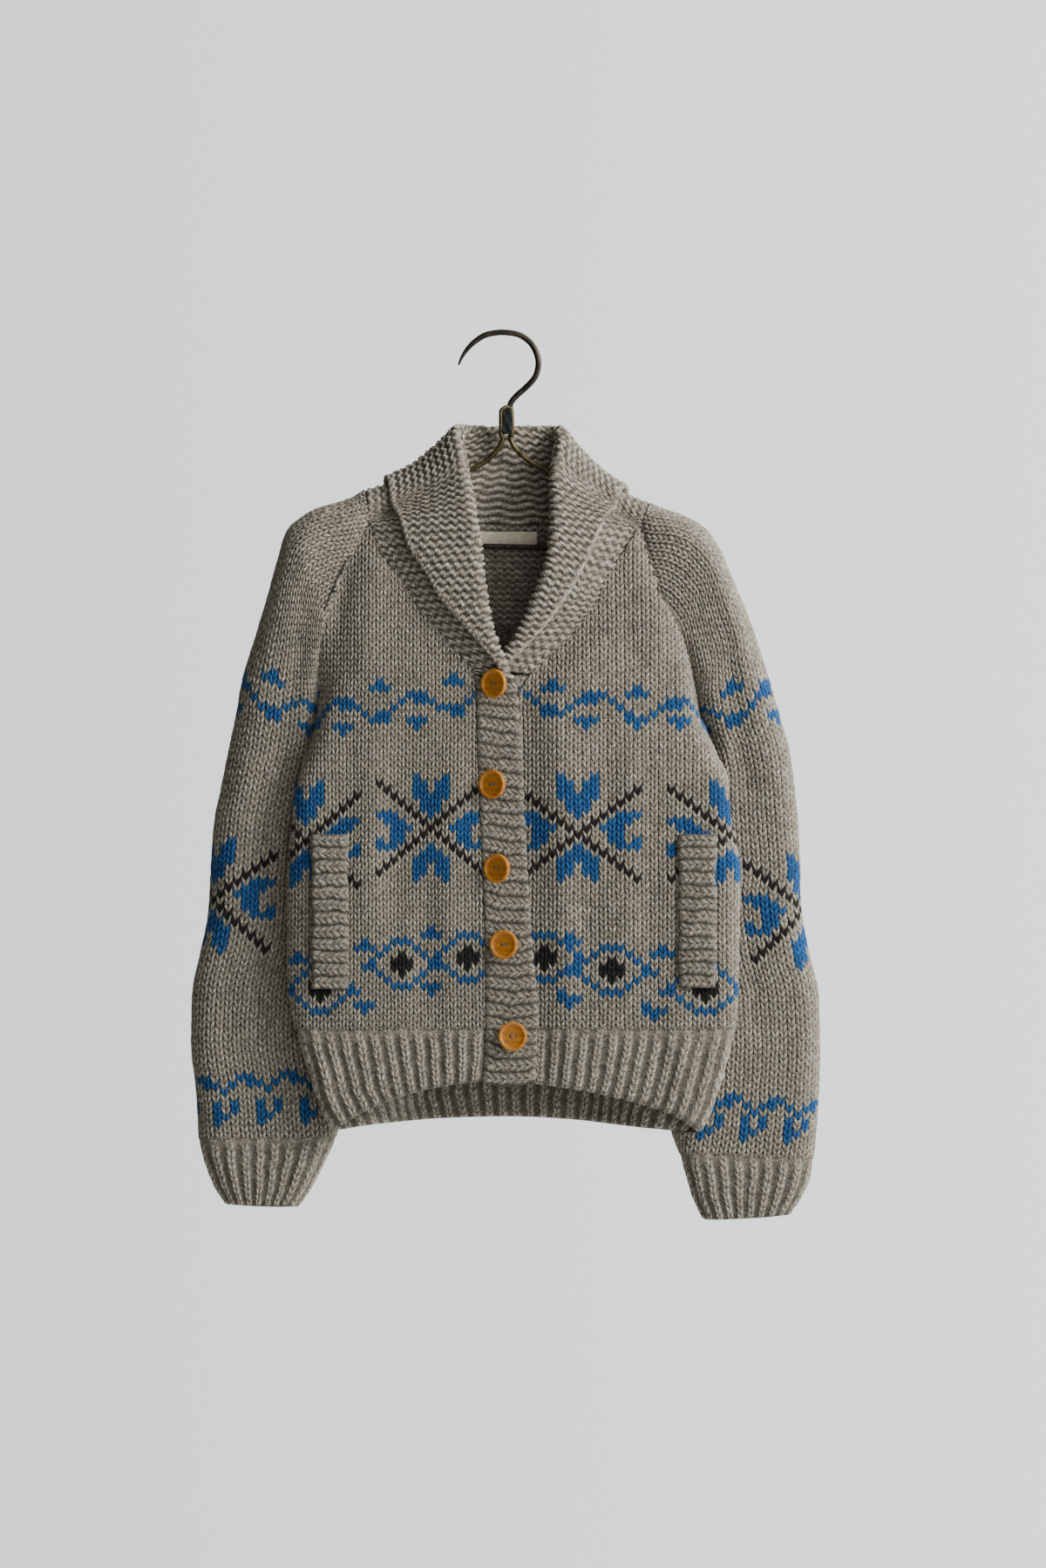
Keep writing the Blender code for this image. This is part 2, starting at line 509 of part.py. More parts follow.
def build_hems(wool):
    for side in (RIGHT, LEFT):
        shares = np.linspace(0, 1, 160)
        bottom = HEM_FRONT[side].at("drop", shares)
        drops = np.stack([HEM_TOP + SEAM + (bottom - HEM_TOP - SEAM) * k for k in (0, 0.33, 0.67, 1)])
        grid = front_grid(side, drops, shares)
        ribs = int(round(np.linalg.norm(np.diff(grid[1], axis=0), axis=1).sum() / RIB_PITCH))
        grid = np.array([resampled(row, 2 * ribs + 1) for row in grid])
        normals = outward(grid, grid_normals(grid), (0, -20, -400))
        normals[:, -1] = (side, 0, 0)
        normals[0] = level(normals[0])
        name = "hem_front_right" if side == RIGHT else "hem_front_left"
        add_wall(name, ribbed(grid, normals, RIB_HEIGHT), grid - normals * WALL, plain_ids(grid), wool)
    shares = np.linspace(-1, 1, 321)
    bottom = HEM_BACK.at("drop", shares)
    rows = []
    for k in (0, 0.33, 0.67, 1):
        drops = HEM_TOP + SEAM + (bottom - HEM_TOP - SEAM) * k
        rows.append([
            back_point(RIGHT if s < 0 else LEFT, s, d, d, d, 0) for s, d in zip(shares, drops)])
    grid = np.array(rows)
    ribs = int(round(np.linalg.norm(np.diff(grid[1], axis=0), axis=1).sum() / RIB_PITCH))
    grid = np.array([resampled(row, 2 * ribs + 1) for row in grid])
    normals = outward(grid, grid_normals(grid), (0, -20, -400))
    normals[:, 0] = (-1, 0, 0)
    normals[:, -1] = (1, 0, 0)
    normals[0] = level(normals[0])
    add_wall("hem_back", ribbed(grid, normals, RIB_HEIGHT), grid - normals * WALL, plain_ids(grid), wool)


def build_cuffs(wool):
    for side in (RIGHT, LEFT):
        rows = []
        for step in (20, 21, 22, 23):
            section = sleeve_section(side, step, 24, SEAM)
            if step == 20:
                section[:, 2] -= SEAM
            rows.append(resampled(section, 2 * CUFF_RIBS + 1))
        grid = np.array(rows)
        normals = grid_normals(grid[:, :-1], closed=True)[:, list(range(2 * CUFF_RIBS)) + [0]]
        normals = outward(grid, normals, (side * 215, -8, -780))
        normals[0] = level(normals[0])
        outer = ribbed(grid, normals, RIB_HEIGHT)
        name = "cuff_right" if side == RIGHT else "cuff_left"
        add_wall(name, outer, grid - normals * WALL, tube_ids(grid), wool)


def collar_seam(parts):
    """The edge that the collar is sewn to, all round: points, their normals and places."""
    found = []
    for side in (RIGHT, LEFT):
        front, front_n = parts["front", side]
        sleeve, sleeve_n = parts["sleeve"][side]
        inside = [i for i in range(front.shape[0]) if -front[i, 0, 2] < COLLAR_END + 1]
        low = [(front[i, 0], front_n[i, 0]) for i in reversed(inside)]
        over = [(sleeve[0, j], sleeve_n[0, j]) for j in range(2 * SLEEVE_HALF + 1)]
        one = [(*item, k / len(low)) for k, item in enumerate(low)]
        two = [(*item, 1 + k / SLEEVE_HALF) for k, item in enumerate(over)]
        found.append(one + two)
    back, back_n = parts["back"]
    middle_column = back.shape[1] // 2
    middle = [(back[0, j], back_n[0, j], 4 + (j - middle_column) / middle_column)
              for j in range(1, back.shape[1] - 1)]
    left = [(point, normal, 8 - place) for point, normal, place in reversed(found[1])]
    return found[0] + middle + left


def collar_grid(parts):
    """Middle surface of the folded collar and the normals for its first column."""
    rows = []
    first = []
    seam = collar_seam(parts)
    tangents = np.gradient(np.array([point for point, _, _ in seam]), axis=0)
    for (point, normal, place), tangent in zip(seam, tangents):
        roll = np.array([COLLAR.at("roll_" + k, place) for k in ("x", "y", "drop")]) * (1, 1, -1)
        lean = np.array([COLLAR.at("lean_" + k, place) for k in ("x", "y", "up")])
        way = np.cross(normal, tangent)
        way = way / np.linalg.norm(way)
        if np.dot(way, roll - point) < 0:
            way = -way
        corner = 3.5 if 0.9 < min(place, 8 - place) < 3.1 else 0
        start = point - normal * WALL / 2 + way * (4 + corner) * SEAM
        along = roll - start
        reach = np.linalg.norm(along)
        along = along / reach
        lean = lean - along * np.dot(lean, along)
        lean = lean / np.linalg.norm(lean)
        gap = float(COLLAR.at("gap", place))
        turn = roll - along * (gap + WALL) / 2
        rise = float(COLLAR.at("rise", place))
        under = [start + (turn - start) * t + lean * rise * math.sin(math.pi * t) for t in (0, 0.35, 0.7)]
        bend = []
        for angle in (0, 60, 120, 180):
            c, s = math.cos(math.radians(angle)), math.sin(math.radians(angle))
            bend.append(turn + lean * gap / 2 * (1 - c) + along * gap / 2 * s)
        edge = float(COLLAR.at("edge", place))
        fall = []
        for share in (0.3, 0.65, 1):
            t = 1 + (edge - 1) * share
            bow = rise * math.sin(math.pi * max(t, 0))
            fall.append(start + (turn - start) * t + lean * (gap + bow))
        rows.append(under + bend + fall)
        first.append(normal)
    return np.array(rows, float), np.array(first, float)


def build_collar(wool, parts):
    grid, first = collar_grid(parts)
    normals = grid_normals(grid)
    if np.dot(normals[len(normals) // 2, 1], first[len(first) // 2]) < 0:
        normals = -normals
    normals[:, 0] = first
    add_wall("collar", grid + normals * WALL / 2, grid - normals * WALL / 2, plain_ids(grid), wool)


def band_surface(drop, x):
    """Outer points of the button band, level with the edge of the front that it is sewn to."""
    return front_y(RIGHT, drop, INNER[RIGHT].at("x", drop)) + 0 * x


def band_ends(share):
    """Drops of the button band's top and bottom, from the seam (0) to the free edge (1)."""
    return 312.6 + 6.2 * share, 686 + 4 * math.sin(math.pi * share)


def band_ridge(drop, share):
    """Height of the band's ridges at a drop: 0 in a valley, RIB_HEIGHT on a crest."""
    top, bottom = band_ends(share)
    k = (drop - top) / (bottom - top) * 2 * BAND_RIBS
    return RIB_HEIGHT * (1 - abs(k % 2 - 1))


def build_bands(wool, parts):
    rows = []
    for k in range(2 * BAND_RIBS + 1):
        row = []
        for share in (0, 0.34, 0.67, 1):
            top, bottom = band_ends(share)
            drop = top + (bottom - top) * k / (2 * BAND_RIBS)
            left = -float(INNER[RIGHT].at("x", drop)) + 2 * SEAM
            right = float(BAND_EDGE.at("x", drop))
            x = left + (right - left) * share
            row.append((x, float(band_surface(drop, x)), -drop))
        rows.append(row)
    grid = np.array(rows)
    normals = outward(grid, grid_normals(grid), (0, -20, -400))
    outer = ribbed(grid, normals, RIB_HEIGHT, across=False)
    add_wall("button_band", outer, grid - normals * WALL, plain_ids(grid), wool)
    rows = []
    front = parts["front", LEFT][0]
    drops = [-z for z in front[:, 0, 2] if -z > COLLAR_END + 1]
    for drop in [COLLAR_END + 1] + drops + [652, 668, 684]:
        row = []
        right = float(INNER[LEFT].at("x", drop)) - SEAM
        for share in (0, 0.5, 1):
            x = -18 + (right + 18) * share
            row.append((x, float(band_surface(drop, x)) + LAP, -drop))
        rows.append(row)
    grid = np.array(rows)
    normals = outward(grid, grid_normals(grid), (0, -20, -400))
    add_wall("under_band", grid, grid - normals * WALL, plain_ids(grid), wool)


def panel_y(front, x, drop):
    """Depth of a front's own faces at a place."""
    drops = -front[:, 0, 2]
    row = int(np.clip(np.searchsorted(drops, drop) - 1, 0, len(drops) - 2))
    share = (drop - drops[row]) / (drops[row + 1] - drops[row])
    depths = [np.interp(x, np.abs(front[k, :, 0]), front[k, :, 1]) for k in (row, row + 1)]
    return float(depths[0] + (depths[1] - depths[0]) * share)


def build_welts(wool, parts):
    for side in (RIGHT, LEFT):
        near, far, top, bottom = WELTS[side]
        count = 2 * int(round((bottom - top) / WELT_RIB_PITCH))
        rows = []
        for drop in np.linspace(top, bottom, count + 1):
            xs = np.linspace(near, far, 4)
            rows.append([(side * x, panel_y(parts["front", side][0], x, drop), -drop) for x in xs])
        grid = np.array(rows)
        normals = outward(grid, grid_normals(grid), (0, -20, -400))
        lift = np.array([REST + 0.3, REST + 0.3, REST + 0.8, REST + 2.2])[None, :, None]
        inner = grid + normals * lift
        outer = ribbed(inner + normals * WALL, normals, RIB_HEIGHT, across=False)
        name = "pocket_welt_right" if side == RIGHT else "pocket_welt_left"
        add_wall(name, outer, inner, plain_ids(grid), wool)


def lathe(name, profile, centre, turn, mat, sides=16):
    """A turned shape about -Y: profile of (radius, forward) from the middle of the back to the front."""
    points = []
    faces = []
    c, s = math.cos(math.radians(turn)), math.sin(math.radians(turn))
    for radius, forward in profile:
        for k in range(sides if radius > 0 else 1):
            angle = 2 * math.pi * k / sides
            x, y, z = radius * math.cos(angle), -forward, radius * math.sin(angle)
            points.append((centre[0] + x * c - y * s, centre[1] + x * s + y * c, centre[2] + z))
    start = 0
    for (radius, _), (following, _) in zip(profile, profile[1:]):
        here = sides if radius > 0 else 1
        there = sides if following > 0 else 1
        for k in range(sides):
            a, b = start + k % here, start + (k + 1) % here
            d, e = start + here + k % there, start + here + (k + 1) % there
            faces.append(tuple(dict.fromkeys((a, b, e, d))))
        start += here
    return add_mesh(name, points, faces, mat)


def build_buttons(wood):
    for number, (x, drop, turn) in enumerate(BUTTONS, 1):
        cloth = float(band_surface(drop, x))
        face = cloth - RIB_HEIGHT - REST
        s, c = math.sin(math.radians(turn)), math.cos(math.radians(turn))
        stand = BUTTON_RADIUS * s + 0.4
        share = (x + INNER[RIGHT].at("x", drop)) / (BAND_EDGE.at("x", drop) + INNER[RIGHT].at("x", drop))
        ridge = max(band_ridge(drop + k * SHANK / 3, share) for k in range(-3, 4))
        stem = -(cloth - ridge - REST - (face - stand) - SHANK * s) / c
        profile = [(0, stem), (SHANK, stem), (SHANK, 0), (BUTTON_RADIUS - 1, 0), (BUTTON_RADIUS, 1.6),
                   (BUTTON_RADIUS - 0.6, BUTTON_THICK), (BUTTON_RADIUS - 3.0, 3.4), (0, 3.2)]
        lathe("button_%d" % number, profile, (x, face - stand, -drop), -turn, wood)


def build_label(cloth, parts):
    x0, x1, top, bottom = LABEL
    rows = []
    for drop in (top, (top + bottom) / 2, bottom):
        row = []
        for x in np.linspace(x0, x1, 5):
            edge = float(BACK[RIGHT if x < 0 else LEFT].at("edge_x", drop))
            point = back_point(RIGHT if x < 0 else LEFT, x / edge, drop, drop, drop, 0)
            row.append((x, point[1] - WALL - 1.0, -drop))
        rows.append(row)
    grid = np.array(rows)
    add_wall("label", grid - np.array([0, 0.8, 0]), grid, plain_ids(grid), cloth)


def tube(name, path, mat, sides=10):
    """A round wire through points (x, drop, radius) in the hanger's plane, or (x, y, drop, radius)."""
    pts = np.array([(p[0], 0 if len(p) == 3 else p[1], -p[-2]) for p in path], float)
    radii = [p[-1] for p in path]
    along = np.gradient(pts, axis=0)
    along = along / np.linalg.norm(along, axis=1, keepdims=True)
    rings = []
    for point, way, radius in zip(pts, along, radii):
        u = np.array([0.0, 1.0, 0.0])
        v = np.cross(way, u)
        v = v / np.linalg.norm(v)
        rings.append([point + radius * (math.cos(a) * u + math.sin(a) * v)
                      for a in np.linspace(0, 2 * math.pi, sides, endpoint=False)])
    points = [p for ring in rings for p in ring]
    faces = []
    for i in range(len(rings) - 1):
        for k in range(sides):
            a, b = i * sides + k, i * sides + (k + 1) % sides
            faces.append((a, b, b + sides, a + sides))
    faces.append(tuple(reversed(range(sides))))
    faces.append(tuple(range(len(points) - sides, len(points))))
    return add_mesh(name, points, faces, mat)


def build_hanger(iron):
    tube("hanger_hook", HOOK_PATH, iron)
    x0, x1, top, bottom, deep = FERRULE
    corner = 2.4
    points = []
    faces = []
    outline = []
    for cx, cz, start in ((x1 - corner, -top - corner, 0), (x0 + corner, -top - corner, 90),
                          (x0 + corner, -bottom + corner, 180), (x1 - corner, -bottom + corner, 270)):
        for a in (0, 45, 90):
            outline.append((cx + corner * math.cos(math.radians(start + a)),
                            cz + corner * math.sin(math.radians(start + a))))
    middle = np.array(outline).mean(axis=0)
    for y, shrink in ((-deep / 2, 0.8), (-deep / 2 + 1.6, 1), (deep / 2 - 1.6, 1), (deep / 2, 0.8)):
        for x, z in outline:
            points.append((middle[0] + (x - middle[0]) * shrink, y, middle[1] + (z - middle[1]) * shrink))
    n = len(outline)
    for i in range(3):
        for k in range(n):
            a, b = i * n + k, i * n + (k + 1) % n
            faces.append((a, b, b + n, a + n))
    faces.append(tuple(reversed(range(n))))
    faces.append(tuple(range(3 * n, 4 * n)))
    add_mesh("hanger_ferrule", points, faces, iron)
    tube("hanger_arm_right", [(x, drop, WIRE) for x, drop in ARMS[RIGHT]], iron)
    tube("hanger_arm_left", [(x, drop, WIRE) for x, drop in ARMS[LEFT]], iron)
    tube("hanger_bar", [(x, drop, WIRE) for x, drop in BAR], iron)


def main():
    clear()
    wool = material("wool", (0.24, 0.22, 0.18), 0.95)
    rib = material("wool_rib", (0.23, 0.21, 0.17), 0.95)
    garter = material("wool_garter", (0.25, 0.23, 0.19), 0.95)
    wood = material("button_wood", (0.58, 0.23, 0.03), 0.45)
    cloth = material("label_cotton", (0.55, 0.5, 0.4), 0.8)
    iron = material("hanger_iron", (0.06, 0.05, 0.04), 0.45, 0.8)
    parts = {}
    build_body(wool, parts)
    build_hems(rib)
    build_cuffs(rib)
    build_collar(garter, parts)
    build_bands(garter, parts)
    build_welts(rib, parts)
    build_buttons(wood)
    build_label(cloth, parts)
    build_hanger(iron)


main()
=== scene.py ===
"""Chunky hand-knit shawl-collar cardigan on an iron wire hanger, dressed over its CAD frame.

Every knitted piece is a wall of cloth with its stitches raised in the mesh, laid on the form of the
solid that it stands for. The tables are in millimetres. "drop" is the distance below the hook's crown,
-Y is the front, and the wearer's right side is -X.
"""
import math

import bpy
import numpy as np
from mathutils import Matrix, Vector


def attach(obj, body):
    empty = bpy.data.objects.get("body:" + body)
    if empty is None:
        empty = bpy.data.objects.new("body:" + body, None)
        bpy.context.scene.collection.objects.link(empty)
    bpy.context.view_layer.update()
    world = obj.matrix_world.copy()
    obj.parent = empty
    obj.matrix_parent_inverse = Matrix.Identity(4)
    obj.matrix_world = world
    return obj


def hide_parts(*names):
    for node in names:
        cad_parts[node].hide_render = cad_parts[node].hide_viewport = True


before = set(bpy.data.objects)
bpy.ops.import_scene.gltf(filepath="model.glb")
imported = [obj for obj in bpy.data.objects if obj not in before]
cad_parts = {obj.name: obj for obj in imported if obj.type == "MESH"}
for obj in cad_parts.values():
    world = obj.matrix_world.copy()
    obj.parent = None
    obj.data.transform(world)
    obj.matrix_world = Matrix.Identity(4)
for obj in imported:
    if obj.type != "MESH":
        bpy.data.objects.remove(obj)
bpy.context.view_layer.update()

bl_info = {
    "name": "Knitted cardigan",
    "version": (1, 0, 0),
    "blender": (4, 5, 0),
    "location": "3D View > Sidebar > Cardigan",
    "description": "Dresses the cardigan's solids with knitted cloth, buttons, label and hanger",
    "category": "Object",
}

MM = 0.001
WALL = 4.6              # chunky knit is this thick
SEAM = 0.15             # each piece stops this far short of its seam
REST = 0.35             # what lies on something stays this far off it
RIB_HEIGHT = 1.8        # of the ridges of the button band
RIB_PITCH = 13.2        # one knit and one purl column of the hem
BAND_RIBS = 30          # from the top of a front band to its bottom
CUFF_RIBS = 20          # round a cuff
SIDE_ROUND = 16.0       # width over which a side fold or seam crease rounds off
SLEEVE_ROUND = 22.0     # width over which the outer fold of a sleeve rounds off
HEM_TOP = 637.0         # drop at which the hem's rib takes over from the plain knit
COLLAR_END = 312.0      # drop at which the collar meets the bands
SLEEVE_HALF = 6         # faces across each half of a sleeve
FRONT_DIP = 3.2         # the top of a front lies this far below the sleeve's first row
LAP = 7.4               # the under band lies this far behind the button band
BUTTON_RADIUS = 13.2
BUTTON_THICK = 4.4
WIRE = 2.4              # radius of the hanger's arms and bar
RIGHT, LEFT = -1, 1     # the wearer's sides
SIDES = {RIGHT: "right", LEFT: "left"}
BODY_AXIS = (0, -20, -400)  # a point inside the body of the garment

CLOTH_WALL = 4.4        # thickness of the cloth under its stitches
REACH = 0.3             # how far the edges of cloth run on over their seams
ROW = 5.8               # height of a row of stitches of the fronts and back
FRONT_STITCH = {RIGHT: 6.8, LEFT: 7.8}
BACK_STITCH = 7.8
SLEEVE_STITCH = 8.0
SLEEVE_ROW = 6.1
RIB_ROW = 6.2           # height of a row of the hem and cuffs
BAND_ROW = 6.0
WELT_RIB = 11.6         # from rib to rib of a pocket welt
GARTER_BUMP = 8.6       # from bump to bump along a ridge of garter stitch
GARTER_RIDGE = 7.1      # from ridge to ridge
GRAIN_X = {RIGHT: 128.0, LEFT: 122.0}   # where on each front the stitches run straight down

VIEW = (1200, 1799)     # size of the view from the front, in pixels
PIXEL = 0.8             # what a pixel shows in the plane of the hanger
CROWN = (583, 383.5)    # pixel of the hook's crown


class Table:
    """Rows of named columns, read smoothly along the first column."""

    def __init__(self, names, rows):
        self.names = names.split()
        self.rows = np.array(rows, float)

    def at(self, name, where):
        xs = self.rows[:, 0]
        ys = self.rows[:, self.names.index(name)]
        x = np.clip(np.asarray(where, float), xs[0], xs[-1])
        h = np.diff(xs)
        d = np.diff(ys) / h
        m = np.concatenate([[d[0]], np.zeros(len(d) - 1), [d[-1]]])
        same = d[:-1] * d[1:] > 0
        m[1:-1][same] = 2 * d[:-1][same] * d[1:][same] / (d[:-1][same] + d[1:][same])
        i = np.clip(np.searchsorted(xs, x, side="right") - 1, 0, len(h) - 1)
        t = (x - xs[i]) / h[i]
        a = ys[i] * (1 + 2 * t) * (1 - t) ** 2 + ys[i + 1] * t * t * (3 - 2 * t)
        return a + h[i] * (m[i] * t * (1 - t) ** 2 - m[i + 1] * t * t * (1 - t))


# Depth of the fronts and of the back at the middle.
DEPTH = Table("drop front_y back_y", [
    (150, -14, 12), (176, -21, 12.5), (200, -29, 13), (240, -39, 13), (280, -47, 13),
    (320, -53, 13), (400, -57, 13.5), (500, -58, 13), (640, -58, 13), (735, -54, 11),
])
# Outer edge of each front: the raglan seam down to the underarm, then the side.
FRONT = {
    RIGHT: Table("drop edge_x seam_y edge_y", [
        (171, 128, -19, -21), (201, 142, -27, -28), (223, 153, -31, -32), (246, 162, -33, -35),
        (266, 168, -33, -37), (286, 172, -31, -39), (306, 174, -27, -41), (326, 175, -20, -43),
        (345, 175.5, -12, -44), (371, 178.5, -27, -49), (392, 187, -36, -52), (424, 195, -41, -54),
        (451, 198, -42, -54), (493, 201, -42, -54), (582, 202, -42, -54), (618, 198, -42, -53),
        (656, 190, -42, -53), (680, 182, -42, -53), (709, 173, -41, -52), (732, 160, -40, -51)]),
    LEFT: Table("drop edge_x seam_y edge_y", [
        (176, 122, -19, -21), (205, 129, -27, -28), (230, 137, -31, -32), (248, 145, -33, -35),
        (263, 153, -33, -37), (280, 161, -31, -39), (300, 168, -27, -41), (322, 173, -20, -43),
        (345, 175.5, -12, -44), (368, 183, -27, -49), (390, 193, -36, -52), (405, 200, -40, -54),
        (447, 204, -42, -54), (469, 209, -42, -54), (495, 212, -42, -54), (556, 211, -42, -54),
        (603, 210, -42, -54), (635, 208, -42, -53), (664, 202, -42, -53), (688, 195, -42, -53),
        (716, 186, -41, -52), (734, 176, -40, -51)]),
}
# Outer edge of each half of the back. Beyond turn_x it lies forward, in front of the sleeve.
BACK = {
    RIGHT: Table("drop edge_x seam_y edge_y turn_x", [
        (160, 98, 12, 13, 150), (185, 112, 12.5, 13.5, 150), (215, 128, 12.5, 14, 150),
        (242, 141, 12, 14, 150), (266, 151, 11, 14, 150), (288, 160, 9, 13, 155),
        (308, 167, 5, 12, 160), (327, 172, -3, 10, 165), (345, 175.5, -12, 6, 168),
        (371, 178.5, -27, -10, 168), (392, 187, -36, -24, 165), (424, 195, -41, -30, 158),
        (451, 198, -42, -31, 148), (500, 201, -42, -31, 139), (582, 202, -42, -31, 131),
        (618, 198, -42, -31, 131), (656, 190, -42, -31, 131), (709, 173, -41, -31, 137),
        (732, 160, -40, -31, 141)]),
    LEFT: Table("drop edge_x seam_y edge_y turn_x", [
        (165, 98, 12, 13, 150), (190, 112, 12.5, 13.5, 150), (218, 126, 12.5, 14, 150),
        (244, 139, 12, 14, 150), (266, 149, 11, 14, 150), (288, 159, 9, 13, 155),
        (308, 167, 5, 12, 160), (327, 172, -3, 10, 165), (345, 175.5, -12, 6, 168),
        (368, 183, -27, -10, 168), (390, 193, -36, -24, 165), (405, 200, -40, -29, 160),
        (447, 204, -42, -31, 148), (500, 212, -42, -31, 139), (556, 211, -42, -31, 131),
        (635, 208, -42, -31, 131), (688, 195, -42, -31, 135), (734, 176, -40, -31, 141)]),
}
# Inner edge of each front: the collar seam, then the seam of its band.
INNER = {
    RIGHT: Table("drop x", [
        (171, 128), (201, 118), (225, 98), (251, 83), (271, 65), (294, 46), (312, 31.5),
        (335, 30), (377, 29), (451, 26), (540, 22.5), (587, 21.5), (660, 22), (690, 25.5)]),
    LEFT: Table("drop x", [
        (176, 121), (201, 106), (220, 92), (246, 81), (264, 67), (285, 49), (303, 30), (312, 21),
        (336, 8), (368, 9), (403, 11), (451, 12), (500, 15), (532, 17), (572, 20), (603, 22),
        (635, 24), (690, 22)]),
}
# Free edge of the button band, on the wearer's left.
BAND_EDGE = Table("drop x", [
    (312, 5.5), (336, 9), (368, 11.5), (403, 13.5), (451, 15), (500, 18), (532, 20), (572, 23),
    (603, 26), (635, 27), (690, 25)])
# Bottom of the hem, from the band's seam to the side and from the middle of the back to the side.
HEM_FRONT = {
    RIGHT: Table("share drop", [(0, 685), (0.25, 690), (0.5, 700), (0.75, 714), (1, 731)]),
    LEFT: Table("share drop", [(0, 687), (0.25, 693), (0.5, 702), (0.75, 714), (1, 733)]),
}
HEM_BACK = Table("share drop", [(-1, 731), (-0.7, 724), (0, 719), (0.7, 728), (1, 733)])
# Sleeve, section by section from the neck to the cuff. "out" is the fold on the outside of the arm,
# "front" and "back" are the raglan seams, which meet at the underarm and are one inner fold below it.
SLEEVE_COLUMNS = (
    "step out_x out_drop front_x front_drop back_x back_drop front_y back_y seam_front seam_back mid_y")
SLEEVE_PLACES = {
    RIGHT: [
        (132, 143, 128, 171, 98, 160), (146, 151, 142, 201, 112, 185), (176, 160, 153, 223, 128, 215),
        (190, 168, 162, 246, 141, 242), (203, 180, 168, 266, 151, 266), (211, 205, 172, 286, 160, 288),
        (220, 238, 174, 306, 167, 308), (231, 275, 175, 326, 172, 327), (244, 318, 175.5, 345),
        (250, 352, 180, 371), (256, 380, 184, 394), (264, 420, 178, 426), (270, 450, 168, 456),
        (273, 495, 159, 500), (275, 530, 154, 535), (283, 570, 149, 568), (290, 606, 147, 602),
        (291, 650, 148, 640), (287, 690, 151, 680), (285, 715, 155, 708), (284, 739, 159, 737),
        (278, 762, 168, 757), (270, 782, 179, 779), (258, 800, 194, 802)],
    LEFT: [
        (130, 155, 122, 176, 98, 165), (145, 161, 129, 205, 112, 190), (160, 166, 137, 230, 126, 218),
        (178, 176, 145, 248, 139, 244), (190, 190, 153, 263, 149, 266), (199, 210, 161, 280, 159, 288),
        (210, 235, 168, 300, 167, 308), (224, 270, 173, 322, 172, 327), (240, 320, 175.5, 345),
        (250, 354, 184.5, 368), (257, 384, 188, 392), (263, 425, 180, 426), (266, 455, 168, 458),
        (267, 495, 159, 500), (269, 530, 154, 535), (276, 568, 149, 570), (285, 610, 147, 606),
        (286, 655, 147, 646), (285, 695, 147, 684), (283, 728, 149, 722), (280, 757, 158, 752),
        (277, 775, 164, 772), (270, 791, 169, 789), (257, 810, 180, 814)],
}
SLEEVE_DEPTHS = [
    (-21, 13, -19, 12, -2), (-28, 13.5, -27, 12.5, -2), (-32, 14, -31, 12.5, -2),
    (-34, 14, -33, 12, -3), (-35, 14, -33, 11, -4), (-35, 14, -31, 9, -5), (-35, 13, -27, 5, -6),
    (-34, 12, -20, -3, -6), (-32, 12, -12, -12, -6), (-29, 12, -8, -8, -6), (-27, 12, -7, -7, -6),
    (-26, 12, -7, -7, -6), (-26, 12, -7, -7, -7), (-26, 12, -7, -7, -7), (-27, 12, -7, -7, -7),
    (-26, 12, -7, -7, -7), (-26, 12, -7, -7, -7), (-27, 12, -7, -7, -7), (-26, 12, -7, -7, -7),
    (-26, 11, -7, -7, -7), (-25, 10, -7, -7, -7), (-25, 9, -7, -7, -8), (-24, 8, -7, -7, -8),
    (-22, 6, -8, -8, -8)]
SLEEVE = {side: Table(SLEEVE_COLUMNS, [
    (step, *place, *(place[2:] if len(place) == 4 else ()), *depths)
    for step, (place, depths) in enumerate(zip(SLEEVE_PLACES[side], SLEEVE_DEPTHS))]) for side in SIDES}
# Soft hanging folds: place, length, half width and how far each stands out of the cloth.
FRONT_FOLDS = {
    RIGHT: [(118, 300, 620, 22, 3.5), (66, 470, 690, 20, -3.0), (160, 640, 740, 16, 2.5)],
    LEFT: [(104, 290, 610, 22, 3.5), (62, 420, 690, 22, -3.0), (150, 600, 740, 18, 3.0)],
}
BACK_FOLDS = [(-64, 230, 640, 26, 4.0), (30, 300, 720, 24, -3.0), (82, 260, 640, 24, 3.5)]
